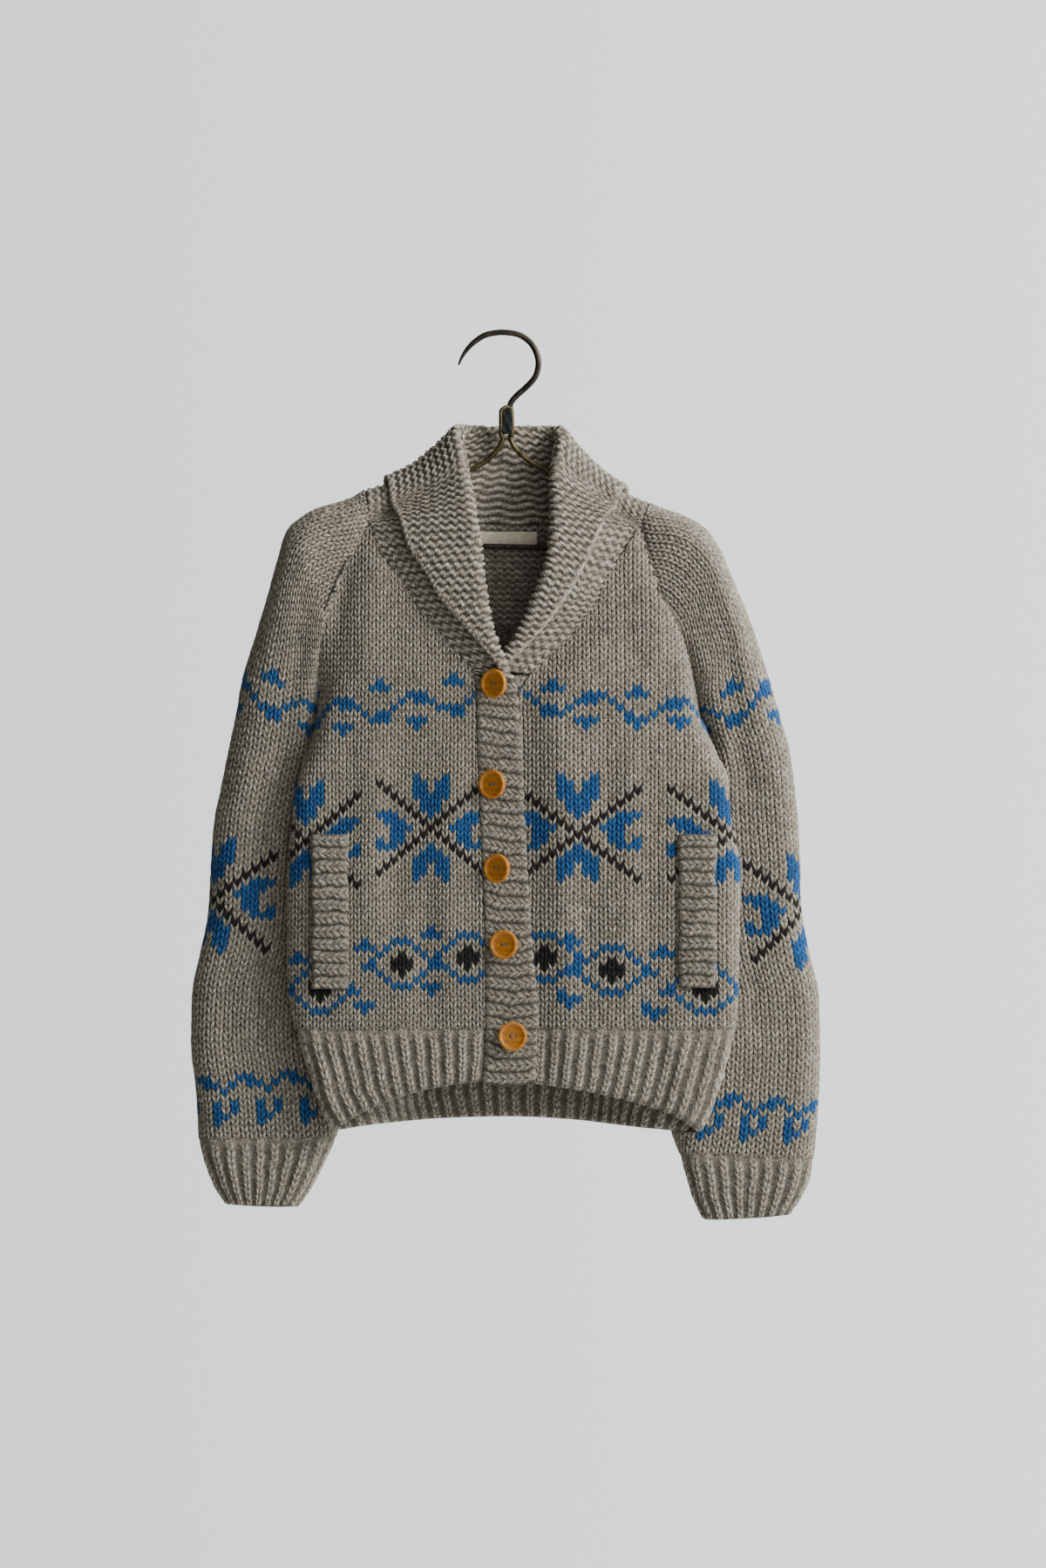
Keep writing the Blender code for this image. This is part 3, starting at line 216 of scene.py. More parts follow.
# Collar, from the wearer's right front round the back of the neck to the left front. "place" counts the
# seam's corners: 1 front raglan, 2 shoulder, 3 back raglan, 4 middle of the back, and so on to 8.
# "roll" is the outermost point of the fold, "gap" lies between the middles of its layers, "edge" is the
# free edge as a share of the way from the seam to the roll, "rise" is how far the layers bow towards the
# lean, and "lean" is where the fold leans over to.
COLLAR = Table("place roll_x roll_y roll_drop gap edge rise lean_x lean_y lean_up", [
    (0.0, 6, -55.5, 318, 6.2, 0.85, 0, 0, -1, 0),
    (0.15, -1, -56.5, 297, 6.8, 0.8, 1, 0, -1, 0),
    (0.32, -11, -55, 274, 8.0, 0.63, 2, 0, -1, 0),
    (0.5, -17, -52, 243, 8.2, 0.43, 3, 0, -1, 0),
    (0.68, -22, -47, 208, 8.2, 0.34, 3, -0.1, -1, 0.1),
    (0.85, -27, -40, 172, 8.2, 0.31, 1, -0.2, -0.9, 0.3),
    (1.0, -33, -30, 138, 8.2, 0.28, -3, -0.3, -0.8, 0.5),
    (2.0, -41, -6, 94, 8.2, 0.22, -9, -0.4, 0, 0.9),
    (2.5, -39, 5, 87, 8.2, 0.09, -4, -0.4, 0.5, 0.7),
    (3.0, -33, 14, 84, 8.2, -0.06, 0, -0.25, 0.9, 0.3),
    (4.0, 0, 15, 83, 8.2, -0.24, 0, 0, 1, 0),
    (5.0, 35, 14, 84, 8.2, -0.06, 0, 0.25, 0.9, 0.3),
    (5.5, 41, 5, 88, 8.2, 0.11, -4, 0.4, 0.5, 0.7),
    (6.0, 43, -6, 96, 8.2, 0.28, -9, 0.4, 0, 0.9),
    (7.0, 37, -30, 138, 8.2, 0.33, -3, 0.3, -0.8, 0.5),
    (7.15, 37, -38, 172, 8.2, 0.43, 1, 0.2, -0.9, 0.3),
    (7.32, 33, -44, 206, 8.2, 0.47, 2, 0.1, -1, 0.1),
    (7.5, 22, -45, 238, 8.0, 0.55, 2, 0, -1, 0),
    (7.68, 9, -45, 270, 7.2, 0.64, 1, 0, -1, 0),
    (7.85, -6, -43, 292, 6.2, 0.74, 0, 0, -1, 0),
    (8.0, -16, -42.5, 308, 5.6, 0.8, 0, 0, -1, 0),
])
# Pocket welts: from the middle to the opening, and from top to bottom.
WELTS = {RIGHT: (146, 180, 459, 600), LEFT: (155, 190, 459, 599)}
BUTTONS = [(-12.0, 321.0, 34), (-13.6, 413.0, 30), (-9.2, 490.0, 32), (-3.2, 559.5, 21), (4.8, 643.5, 14)]
LABEL = (-27.5, 26.5, 180.5, 193.5)
HOOK_PATH = [
    (-45.6, 26.8, 0.9), (-42.5, 19.5, 1.6), (-37, 11.5, 2.2), (-30, 4.8, 2.6), (-21, -0.6, 2.8),
    (-10, -2.9, 2.8), (0, -2.8, 2.8), (11, -0.4, 2.8), (20.5, 6.6, 2.8), (26.2, 16.5, 2.8),
    (27.7, 27, 2.8), (25, 37.5, 2.8), (17.5, 46.5, 2.8), (8.5, 54.5, 2.8), (3.2, 60.5, 2.8),
    (1.4, 65.3, 2.8)]
FERRULE = (-8.2, 5.0, 66.2, 91.5, 9.5)
ARMS = {
    RIGHT: [(-4.8, 92.2), (-6.2, 99), (-12, 107.5), (-24, 117.8), (-38, 125), (-70, 137), (-106, 149.5),
            (-132, 155), (-150, 161.8), (-172, 169.9), (-184, 175.5), (-190, 182.2), (-190.5, 188)],
    LEFT: [(1.6, 92.2), (3.2, 98), (8.5, 106), (21, 116.5), (38, 125), (68, 140), (100, 155.5),
           (128, 165.8), (144, 170.7), (158, 175.4), (169, 181.9), (175, 189.5), (176, 195.6)],
}
BAR = [(-190.5, 191.0), (-120, 192), (0, 194.2), (110, 197), (176, 199.0)]


def grid_normals(grid, closed=False):
    """Unit normals of a grid of points, from the differences along its rows and columns."""
    across = np.empty_like(grid)
    if closed:
        across = np.roll(grid, -1, axis=1) - np.roll(grid, 1, axis=1)
    else:
        across[:, 1:-1] = grid[:, 2:] - grid[:, :-2]
        across[:, 0] = grid[:, 1] - grid[:, 0]
        across[:, -1] = grid[:, -1] - grid[:, -2]
    along = np.gradient(grid, axis=0)
    found = np.cross(across, along)
    return found / np.maximum(np.linalg.norm(found, axis=2, keepdims=True), 1e-9)


def rounded(distance, width):
    """0 at a fold, rising to 1 along a quarter of an ellipse."""
    t = np.clip(distance / width, 0, 1)
    return np.sqrt(1 - (1 - t) ** 2)


def eased(t):
    t = np.clip(t, 0, 1)
    return t * t * (3 - 2 * t)


def fold_height(folds, x, drop):
    """How far the soft folds stand out of the cloth at a place."""
    total = np.zeros(np.broadcast(x, drop).shape)
    for place, top, bottom, half, height in folds:
        along = np.clip((drop - top) / (bottom - top), 0, 1)
        across = np.clip(np.abs(x - place - 8 * np.sin(along * 3.0)) / half, 0, 1)
        total = total + height * np.sin(np.pi * along) ** 2 * (1 - across ** 2) ** 2
    return total


def front_y(side, drop, x):
    """Depth of the outer face of a front, at a distance x from the middle."""
    drop = np.asarray(drop, float)
    edge = FRONT[side].at("edge_x", drop)
    seam = FRONT[side].at("seam_y", drop)
    middle = DEPTH.at("front_y", drop)
    surface = middle + (FRONT[side].at("edge_y", drop) - middle) * (x / edge) ** 2
    surface = surface - fold_height(FRONT_FOLDS[side], x, drop)
    if side == LEFT:
        near = 1 - eased((x - INNER[LEFT].at("x", drop)) / 38)
        surface = surface + LAP * near * eased((drop - 240) / 60)
    return seam + (surface - seam) * rounded(edge - x, SIDE_ROUND)


def front_grid(side, drops, shares):
    """Outer points of a front, drops by rows and shares of the width from the inner edge."""
    drop = np.asarray(drops, float)
    if drop.ndim == 1:
        drop = np.repeat(drop[:, None], len(shares), axis=1)
    inner = INNER[side].at("x", drop) + SEAM
    outer = FRONT[side].at("edge_x", drop) - SEAM
    x = inner + (outer - inner) * np.asarray(shares)[None, :]
    return np.stack([side * x, front_y(side, drop, x), -drop], axis=2)


def back_grid(drops_right, drops_left, dips, shares):
    """Outer points of the back: shares run from -1 at the right edge to 1 at the left."""
    rows = []
    for drop_right, drop_left, dip in zip(drops_right, drops_left, dips):
        row = []
        for share in shares:
            side = RIGHT if share < 0 else LEFT
            drop_edge = drop_right if share < 0 else drop_left
            row.append(back_point(side, share, drop_edge, drop_right, drop_left, dip))
        rows.append(row)
    return np.array(rows)


def back_point(side, share, drop_edge, drop_right, drop_left, dip):
    table = BACK[side]
    drop = drop_right + (drop_left - drop_right) * (share + 1) / 2 + dip * (1 - share ** 2)
    edge = float(table.at("edge_x", drop_edge)) - SEAM
    x = abs(share) * edge
    turn = float(table.at("turn_x", drop_edge))
    middle = float(DEPTH.at("back_y", drop))
    surface = middle + (float(table.at("edge_y", drop_edge)) - middle) * float(eased((x - turn + 62) / 62))
    surface = surface + float(fold_height(BACK_FOLDS, share * edge, drop))
    seam = float(table.at("seam_y", drop_edge))
    return (share * edge, seam + (surface - seam) * float(rounded(edge + SEAM - x, SIDE_ROUND)), -drop)


def sleeve_section(side, step, half_points, shift=0.0):
    """Outer points of one sleeve section, from the front seam over the outer fold to the back seam."""
    table = SLEEVE[side]
    out = np.array([table.at("out_x", step), table.at("out_drop", step)])
    middle = float(table.at("mid_y", step))
    points = []
    for face, sign in (("front", 1), ("back", -1)):
        inner = np.array([table.at(face + "_x", step) + shift, table.at(face + "_drop", step)])
        length = float(np.hypot(*(out - inner)))
        seam = float(table.at("seam_" + face, step))
        surface = float(table.at(face + "_y", step))
        share = (1 - np.cos(np.pi * np.linspace(0, 1, half_points + 1))) / 2
        if sign < 0:
            share = share[::-1][1:]
        away = share * length
        depth = seam + (surface - seam) * rounded(away, min(SIDE_ROUND, 0.4 * length))
        depth = middle + (depth - middle) * rounded(length - away, min(SLEEVE_ROUND, 0.6 * length))
        place = inner[None, :] + (out - inner)[None, :] * share[:, None]
        points.append(np.stack([side * place[:, 0], depth, -place[:, 1]], axis=1))
    return np.concatenate(points)


def resampled(line, count):
    """A line of points at equal steps along its length."""
    length = np.concatenate([[0], np.cumsum(np.linalg.norm(np.diff(line, axis=0), axis=1))])
    at = np.linspace(0, length[-1], count)
    return np.stack([np.interp(at, length, line[:, k]) for k in range(3)], axis=1)


def outward(grid, normals=None, centre=BODY_AXIS):
    """The normals of a grid, its own unless others are given, turned away from a point inside."""
    normals = grid_normals(grid) if normals is None else normals
    row, column = grid.shape[0] // 2, grid.shape[1] // 2
    away = np.dot(grid[row, column] - np.array(centre, float), normals[row, column])
    return normals if away > 0 else -normals


def meet(own, other):
    """Both pieces' normals at a seam: shared where the cloth runs flat, its own in a crease."""
    weight = np.clip((own * other).sum(axis=1, keepdims=True), 0, 1)
    first = own + weight * other
    second = other + weight * own
    return (first / np.linalg.norm(first, axis=1, keepdims=True),
            second / np.linalg.norm(second, axis=1, keepdims=True))


def seam_steps(side):
    """Steps down the raglan seam, with one where the collar ends and one below it."""
    fine = np.linspace(0, 8, 801)
    drops = SLEEVE[side].at("front_drop", fine)
    more = [float(np.interp(drop, drops, fine)) for drop in (COLLAR_END, 335)]
    return np.array(sorted(list(range(9)) + more))


def collar_seam(parts):
    """The edge that the collar is sewn to, all round: points, their normals and places."""
    found = []
    for side in (RIGHT, LEFT):
        front, front_n = parts["front", side]
        sleeve, sleeve_n = parts["sleeve", side]
        inside = [i for i in range(front.shape[0]) if -front[i, 0, 2] < COLLAR_END + 1]
        low = [(front[i, 0], front_n[i, 0]) for i in reversed(inside)]
        over = [(sleeve[0, j], sleeve_n[0, j]) for j in range(2 * SLEEVE_HALF + 1)]
        one = [(*item, k / len(low)) for k, item in enumerate(low)]
        two = [(*item, 1 + k / SLEEVE_HALF) for k, item in enumerate(over)]
        found.append(one + two)
    back, back_n = parts["back"]
    middle_column = back.shape[1] // 2
    middle = [(back[0, j], back_n[0, j], 4 + (j - middle_column) / middle_column)
              for j in range(1, back.shape[1] - 1)]
    left = [(point, normal, 8 - place) for point, normal, place in reversed(found[1])]
    return found[0] + middle + left


def collar_grid(parts):
    """Middle surface of the folded collar and the normals for its first column."""
    rows = []
    first = []
    seam = collar_seam(parts)
    tangents = np.gradient(np.array([point for point, _, _ in seam]), axis=0)
    for (point, normal, place), tangent in zip(seam, tangents):
        roll = np.array([COLLAR.at("roll_" + k, place) for k in ("x", "y", "drop")]) * (1, 1, -1)
        lean = np.array([COLLAR.at("lean_" + k, place) for k in ("x", "y", "up")])
        way = np.cross(normal, tangent)
        way = way / np.linalg.norm(way)
        if np.dot(way, roll - point) < 0:
            way = -way
        corner = 3.5 if 0.9 < min(place, 8 - place) < 3.1 else 0
        start = point - normal * WALL / 2 + way * (4 + corner) * SEAM
        along = roll - start
        reach = np.linalg.norm(along)
        along = along / reach
        lean = lean - along * np.dot(lean, along)
        lean = lean / np.linalg.norm(lean)
        gap = float(COLLAR.at("gap", place))
        turn = roll - along * (gap + WALL) / 2
        rise = float(COLLAR.at("rise", place))
        under = [start + (turn - start) * t + lean * rise * math.sin(math.pi * t) for t in (0, 0.35, 0.7)]
        bend = []
        for angle in (0, 60, 120, 180):
            c, s = math.cos(math.radians(angle)), math.sin(math.radians(angle))
            bend.append(turn + lean * gap / 2 * (1 - c) + along * gap / 2 * s)
        edge = float(COLLAR.at("edge", place))
        fall = []
        for share in (0.3, 0.65, 1):
            t = 1 + (edge - 1) * share
            bow = rise * math.sin(math.pi * max(t, 0))
            fall.append(start + (turn - start) * t + lean * (gap + bow))
        rows.append(under + bend + fall)
        first.append(normal)
    return np.array(rows, float), np.array(first, float)


def band_surface(drop, x):
    """Outer points of the button band, level with the edge of the front that it is sewn to."""
    return front_y(RIGHT, drop, INNER[RIGHT].at("x", drop)) + 0 * x


def band_ends(share):
    """Drops of the button band's top and bottom, from the seam (0) to the free edge (1)."""
    return 312.6 + 6.2 * share, 686 + 4 * math.sin(math.pi * share)


def panel_y(front, x, drop):
    """Depth of a front's own faces at a place."""
    drops = -front[:, 0, 2]
    row = int(np.clip(np.searchsorted(drops, drop) - 1, 0, len(drops) - 2))
    share = (drop - drops[row]) / (drops[row + 1] - drops[row])
    depths = [np.interp(x, np.abs(front[k, :, 0]), front[k, :, 1]) for k in (row, row + 1)]
    return float(depths[0] + (depths[1] - depths[0]) * share)


class Cloth:
    """A smooth sheet: rows of points run across it, "along" gives each row's place down it in mm,
    or its mean distance down the sheet where that isn't given.

    Places across are measured from the reference column, so that stitches run straight down from there,
    or, where there is none, as equal shares of the width, so that stitches fan with the sheet.
    """

    def __init__(self, grid, normals, along=None, reference=None):
        self.data = np.concatenate([grid, normals], axis=2)
        steps = np.linalg.norm(np.diff(grid, axis=1), axis=2)
        self.across = np.concatenate([np.zeros((len(grid), 1)), np.cumsum(steps, axis=1)], axis=1)
        down = np.linalg.norm(np.diff(grid, axis=0), axis=2).mean(axis=1)
        self.along = np.concatenate([[0], np.cumsum(down)]) if along is None else np.asarray(along, float)
        self.area = float((steps[1:].sum(axis=1) * down).sum())
        self.width = float(self.across[:, -1].max())
        self.mean_width = float(self.across[:, -1].mean())
        self.length = float(down.sum())
        if reference is None:
            self.across = self.across / self.across[:, -1:] * self.mean_width
        else:
            columns = np.arange(grid.shape[1])
            zero = np.array([np.interp(c, columns, row) for c, row in zip(reference, self.across)])
            self.across = self.across - zero[:, None]

    def at(self, s, t):
        """Points, normals and the room to each side edge, for places across (s) and along (t)."""
        row = np.interp(t, self.along, np.arange(len(self.along)))
        low = np.minimum(row.astype(int), len(self.along) - 2)
        found = np.empty((len(s), 8))
        for k in np.unique(low):
            pick = low == k
            pair = []
            for r in (k, k + 1):
                a = self.across[r]
                values = [np.interp(s[pick], a, self.data[r, :, c]) for c in range(6)]
                pair.append(np.stack(values + [s[pick] - a[0], a[-1] - s[pick]], axis=1))
            part = (row[pick] - k)[:, None]
            found[pick] = pair[0] * (1 - part) + pair[1] * part
        normal = found[:, 3:6] / np.linalg.norm(found[:, 3:6], axis=1, keepdims=True)
        return found[:, :3], normal, found[:, 6], found[:, 7]


def spread(nodes, first, last, pitch):
    """Node places repeated over whole cells from first to last, closed by one more at the end."""
    cells = np.arange(first, last)
    places = (cells[:, None] + np.asarray(nodes)[None, :]).ravel()
    return np.append(places, last) * pitch


# Stitches on their own grid of nodes. "columns" are shares of a stitch's width, "lifts" how many rows
# the yarn has risen there, "rows" shares of its height, and the heights have a line for each row.
KNIT = {
    "columns": [0, 0.11, 0.36, 0.5, 0.64, 0.89],
    "lifts": [0.95, 0.76, 0.22, 0, 0.22, 0.76],
    "rows": [0, 0.24, 0.78],
    "heights": [
        [-0.55, -0.3, -0.15, -0.55, -0.15, -0.3], [-0.5, 1.1, 1.4, -0.25, 1.4, 1.1],
        [-0.5, 1.2, 1.45, -0.25, 1.45, 1.2]],
}
BACK_KNIT = {
    "columns": [0, 0.2, 0.5, 0.8],
    "lifts": [0.9, 0.5, 0, 0.5],
    "rows": [0, 0.5],
    "heights": [[-0.6, -0.1, -0.6, -0.1], [-0.3, 1.8, 0, 1.8]],
}
RIB = {
    "columns": [0, 0.1, 0.2, 0.28, 0.42, 0.5, 0.58, 0.72, 0.8, 0.9],
    "lifts": [0.85, 0.85, 0.85, 0.65, 0.2, 0, 0.2, 0.65, 0.85, 0.85],
    "rows": [0, 0.24, 0.78],
    "heights": [
        [-0.35, -0.3, -0.1, 0.3, 0.4, -0.2, 0.4, 0.3, -0.1, -0.3],
        [-0.25, -0.15, 0.0, 1.2, 1.8, 0.4, 1.8, 1.2, 0.0, -0.15],
        [-0.25, -0.15, 0.0, 1.3, 1.9, 0.3, 1.9, 1.3, 0.0, -0.15]],
}
BAND = {
    "loose": 0.17,
    "columns": [0, 0.09, 0.2, 0.36, 0.46, 0.54, 0.64, 0.8, 0.91],
    "lifts": [0.9, 0.9, 0.75, 0.4, 0.1, 0.1, 0.4, 0.75, 0.9],
    "rows": [0, 0.22, 0.78],
    "heights": [
        [-0.45, -0.15, 0.2, 0.4, 0.1, 0.1, 0.4, 0.2, -0.15],
        [-0.4, 0.3, 1.4, 1.8, 1.0, 1.0, 1.8, 1.4, 0.3],
        [-0.4, 0.3, 1.5, 1.8, 0.9, 0.9, 1.8, 1.5, 0.3]],
}


def noise(a, b, seed):
    """Smooth wobble between -1 and 1 over two arrays of cell numbers."""
    total = 0
    for k, (fa, fb) in enumerate(((1.7, 0.9), (0.6, 2.3), (2.9, 1.9), (0.31, 0.43))):
        total = total + np.sin(a * fa + b * fb + seed * (k + 1) * 1.37) / 4
    return total


def scatter(a, b, seed):
    """A fixed random number between 0 and 1 for each pair of cell numbers."""
    value = np.sin(a * 127.1 + b * 311.7 + seed * 74.7) * 43758.5453
    return value - np.floor(value)


def garter(p, q):
    """Height of garter stitch: p counts bumps along a ridge and q counts ridges."""
    own = scatter(np.floor(2 * p), np.floor(2 * q), 5) - 0.5
    wave = 0.17 * np.cos(2 * np.pi * p)
    ridge = np.clip(0.6 - np.cos(2 * np.pi * (q + wave)), 0, 1.2) / 1.2
    bump = 0.8 + 0.34 * np.cos(2 * np.pi * p) * np.sin(2 * np.pi * q)
    return 2.1 * ridge ** 0.8 * bump * (1 + 0.6 * own) - 0.42


def stitch_grid(stitch, pitch, row, cells, rows, turned, seed):
    """Places across and along, heights and cell numbers of a field of stitches."""
    c = spread(stitch["columns"], cells[0], cells[1], 1.0)
    r = spread(stitch["rows"], rows[0], rows[1], 1.0)
    count = cells[1] - cells[0]
    lifts = np.append(np.tile(stitch["lifts"], count), stitch["lifts"][0])
    heights = np.array(stitch["heights"], float)
    heights = np.tile(heights, (rows[1] - rows[0], count))
    heights = np.vstack([heights, heights[:1]])
    heights = np.hstack([heights, heights[:, :1]])
    cc, rr = np.meshgrid(c, r)
    wobble = noise(cc * 0.8, rr * 0.8, seed)
    own = scatter(np.floor(cc), np.floor(rr), seed) - 0.5
    level = rr - lifts[None, :] + 0.11 * wobble
    slack = stitch.get("loose", 0.09) * noise(rr * 0.9, cc * 0.7, seed + 3)
    place = cc + slack + 0.07 * own * (heights > 0.2)
    heights = heights * (1 + 0.3 * own)
    uv = np.stack([cc * pitch, rr * row], axis=2)
    if turned:
        return level * row, place * pitch, heights, uv
    return place * pitch, level * row, heights, uv


def longest_loop(faces):
    """The longest loop of open edges of a mesh, walked round with its faces on the left."""
    quads = np.asarray(faces)
    a = quads.ravel()
    b = np.roll(quads, -1, axis=1).ravel()
    key = a.astype(np.int64) * 10_000_000 + b
    back = b.astype(np.int64) * 10_000_000 + a
    lone = ~np.isin(key, back)
    following = {}
    for i, j in zip(a[lone].tolist(), b[lone].tolist()):
        following.setdefault(i, []).append(j)
    found = []
    while following:
        start = next(iter(following))
        loop = [start]
        while True:
            choices = following.get(loop[-1])
            if not choices:
                break
            after = choices.pop()
            if not choices:
                del following[loop[-1]]
            if after == start:
                break
            loop.append(after)
        found.append(loop)
    return max(found, key=len)


def zipped(points, first, second):
    """Triangles that close the gap between two loops that run the same way round."""
    p = points[first]
    q = points[second]
    start = int(np.argmin(np.linalg.norm(q - p[0], axis=1)))
    second = list(second[start:]) + list(second[:start])
    q = points[second]

    def shares(loop):
        size = np.linalg.norm(np.roll(loop, -1, axis=0) - loop, axis=1)
        return np.concatenate([[0], np.cumsum(size)]) / size.sum()

    u, v = shares(p), shares(q)
    n, m = len(first), len(second)
    i = j = 0
    faces = []
    while i < n or j < m:
        ahead = u[i] - v[j]
        if j == m or (i < n and ahead < -0.01):
            go = True
        elif i == n or ahead > 0.01:
            go = False
        else:
            go = np.sum((p[(i + 1) % n] - q[j % m]) ** 2) <= np.sum((p[i % n] - q[(j + 1) % m]) ** 2)
        if go:
            faces.append((first[(i + 1) % n], first[i % n], second[j % m]))
            i += 1
        else:
            faces.append((first[i % n], second[j % m], second[(j + 1) % m]))
            j += 1
    return faces


def surface(cloth, s, t, raised, rounds, inner, wall):
    """One side of the wall as points, faces and the depth of each point in its stitch."""
    shape = s.shape
    low, high = cloth.along[0], cloth.along[-1]
    flat_t = np.clip(t.ravel(), low, high)
    points, normals, left, right = cloth.at(s.ravel(), flat_t)
    clamped = np.stack([left <= 0, right <= 0, t.ravel() <= low, t.ravel() >= high])
    # edges reach a little over their seams, so that no gap shows through
    for past, ds, dt in zip(clamped, (2, -2, 0, 0), (0, 0, 2, -2)):
        across = s.ravel()[past]
        if ds:
            across = across - (left[past] if ds > 0 else -right[past])
        way = points[past] - cloth.at(across + ds, flat_t[past] + dt)[0]
        size = np.linalg.norm(way, axis=1, keepdims=True)
        points[past] += way / np.maximum(size, 0.5) * REACH
    room = np.stack([left, right, flat_t - low, high - flat_t])
    bend = np.zeros(len(flat_t))
    for size, distance in zip(rounds, room):
        if size > 0:
            share = np.clip(distance / size, 0, 1)
            bend = np.maximum(bend, 1 - np.sqrt(1 - (1 - share) ** 2))
    offset = raised.ravel() * (1 - bend) - 0.46 * wall * bend
    if inner:
        offset = -wall - offset
    points = points + normals * offset[:, None]
    index = np.arange(s.size).reshape(shape)
    quads = np.stack([index[:-1, :-1], index[1:, :-1], index[1:, 1:], index[:-1, 1:]], axis=2)
    quads = quads.reshape(-1, 4)
    out = clamped[:, quads].all(axis=2).any(axis=0)
    return points, quads[~out], (~out).reshape(shape[0] - 1, shape[1] - 1), raised.ravel()


def facing(points, quads, normals_way):
    """Quads turned so that their faces look along the given way on the whole."""
    a, b, c = points[quads[:, 0]], points[quads[:, 1]], points[quads[:, 2]]
    total = np.sum(np.cross(b - a, c - a) * normals_way[quads[:, 0]])
    return quads if total > 0 else quads[:, ::-1]


def knit_piece(name, cloth, outer, inner, mat, rounds=(0, 0, 0, 0), wall=None, paint=None):
    """A closed wall of knitted cloth. outer and inner are (s, t, heights, uv) grids of each side.

    rounds are the widths in mm over which its four edges round off, in the order left, right, top and
    bottom. paint has the yarn colours of the outer side's faces.
    """
    wall = (wall or bpy.context.scene.cardigan_settings.cloth_wall) / MM
    sides = []
    start = 0
    for side, inside in ((outer, False), (inner, True)):
        s, t, heights, uv = side
        points, quads, kept, height = surface(cloth, s, t, heights, rounds, inside, wall)
        used = np.unique(quads)
        renumber = np.zeros(len(points), int)
        renumber[used] = np.arange(len(used))
        where = np.clip(t.ravel()[used], cloth.along[0], cloth.along[-1])
        normals = cloth.at(s.ravel()[used], where)[1]
        points, quads = points[used], renumber[quads]
        quads = facing(points, quads, -normals if inside else normals)
        colours = None if paint is None or inside else paint[kept]
        sides.append((points, quads + start, uv.reshape(-1, 2)[used], height[used], colours))
        start += len(used)
    points = np.concatenate([sides[0][0], sides[1][0]])
    first, second = (longest_loop(quads) for _, quads, _, _, _ in sides)
    return build_cloth(name, points, sides, zipped(points, np.array(first), second[::-1]), mat)


def build_cloth(name, points, sides, rims, mat):
    """The mesh object with its yarn colours, stitch depth and a map in millimetres of cloth."""
    quads = np.concatenate([sides[0][1], sides[1][1]])
    rims = np.array(rims).reshape(-1, 3)
    counts = np.concatenate([np.full(len(quads), 4), np.full(len(rims), 3)])
    corners = np.concatenate([quads.ravel(), rims.ravel()])
    mesh = bpy.data.meshes.new(name)
    mesh.vertices.add(len(points))
    mesh.vertices.foreach_set("co", (points * MM).ravel())
    mesh.loops.add(len(corners))
    mesh.loops.foreach_set("vertex_index", corners)
    mesh.polygons.add(len(counts))
    mesh.polygons.foreach_set("loop_start", np.concatenate([[0], np.cumsum(counts)[:-1]]))
    mesh.polygons.foreach_set("use_smooth", np.ones(len(counts), bool))
    mesh.update(calc_edges=True)
    uv = np.concatenate([sides[0][2], sides[1][2] + (0, 2000)]) * MM
    layer = mesh.uv_layers.new(name="cloth")
    layer.data.foreach_set("uv", uv[corners].ravel())
    # the depth of each point in its stitch, which the wool's finish turns into painted shade in the gaps
    depth = mesh.attributes.new("depth", "FLOAT", "POINT")
    depth.data.foreach_set("value", np.concatenate([sides[0][3], sides[1][3]]))
    yarn = mesh.attributes.new("yarn", "FLOAT_COLOR", "FACE")
    colours = np.zeros((len(counts), 4))
    colours[:, 3] = 1
    if sides[0][4] is not None:
        colours[:len(sides[0][1]), :3] = sides[0][4]
    yarn.data.foreach_set("color", colours.ravel())
    mesh.materials.append(mat)
    obj = bpy.data.objects.new(name, mesh)
    bpy.context.scene.collection.objects.link(obj)
    return obj


def add_node(tree, kind, settings=None, links=None):
    """Adds a shader node of a kind with its settings and its inputs, given by name or number."""
    node = tree.nodes.new("ShaderNode" + kind)
    for key, value in (settings or {}).items():
        if key in node.bl_rna.properties:
            setattr(node, key, value)
        else:
            node.inputs[key].default_value = value
    for key, source in (links or {}).items():
        tree.links.new(source, node.inputs[key])
    return node


def linear(colour):
    """An sRGB hex colour as linear RGB with alpha."""
    values = [int(colour[i:i + 2], 16) / 255 for i in (1, 3, 5)]
    return [v / 12.92 if v <= 0.04045 else ((v + 0.055) / 1.055) ** 2.4 for v in values] + [1.0]


def ramp(node, stops):
    """Sets a colour ramp's stops, as places and hex colours."""
    elements = node.color_ramp.elements
    while len(elements) < len(stops):
        elements.new(0.5)
    for element, (place, colour) in zip(elements, stops):
        element.position = place
        element.color = linear(colour)


def new_material(name):
    mat = bpy.data.materials.new(name)
    mat.use_nodes = True
    return mat, mat.node_tree, mat.node_tree.nodes["Principled BSDF"]


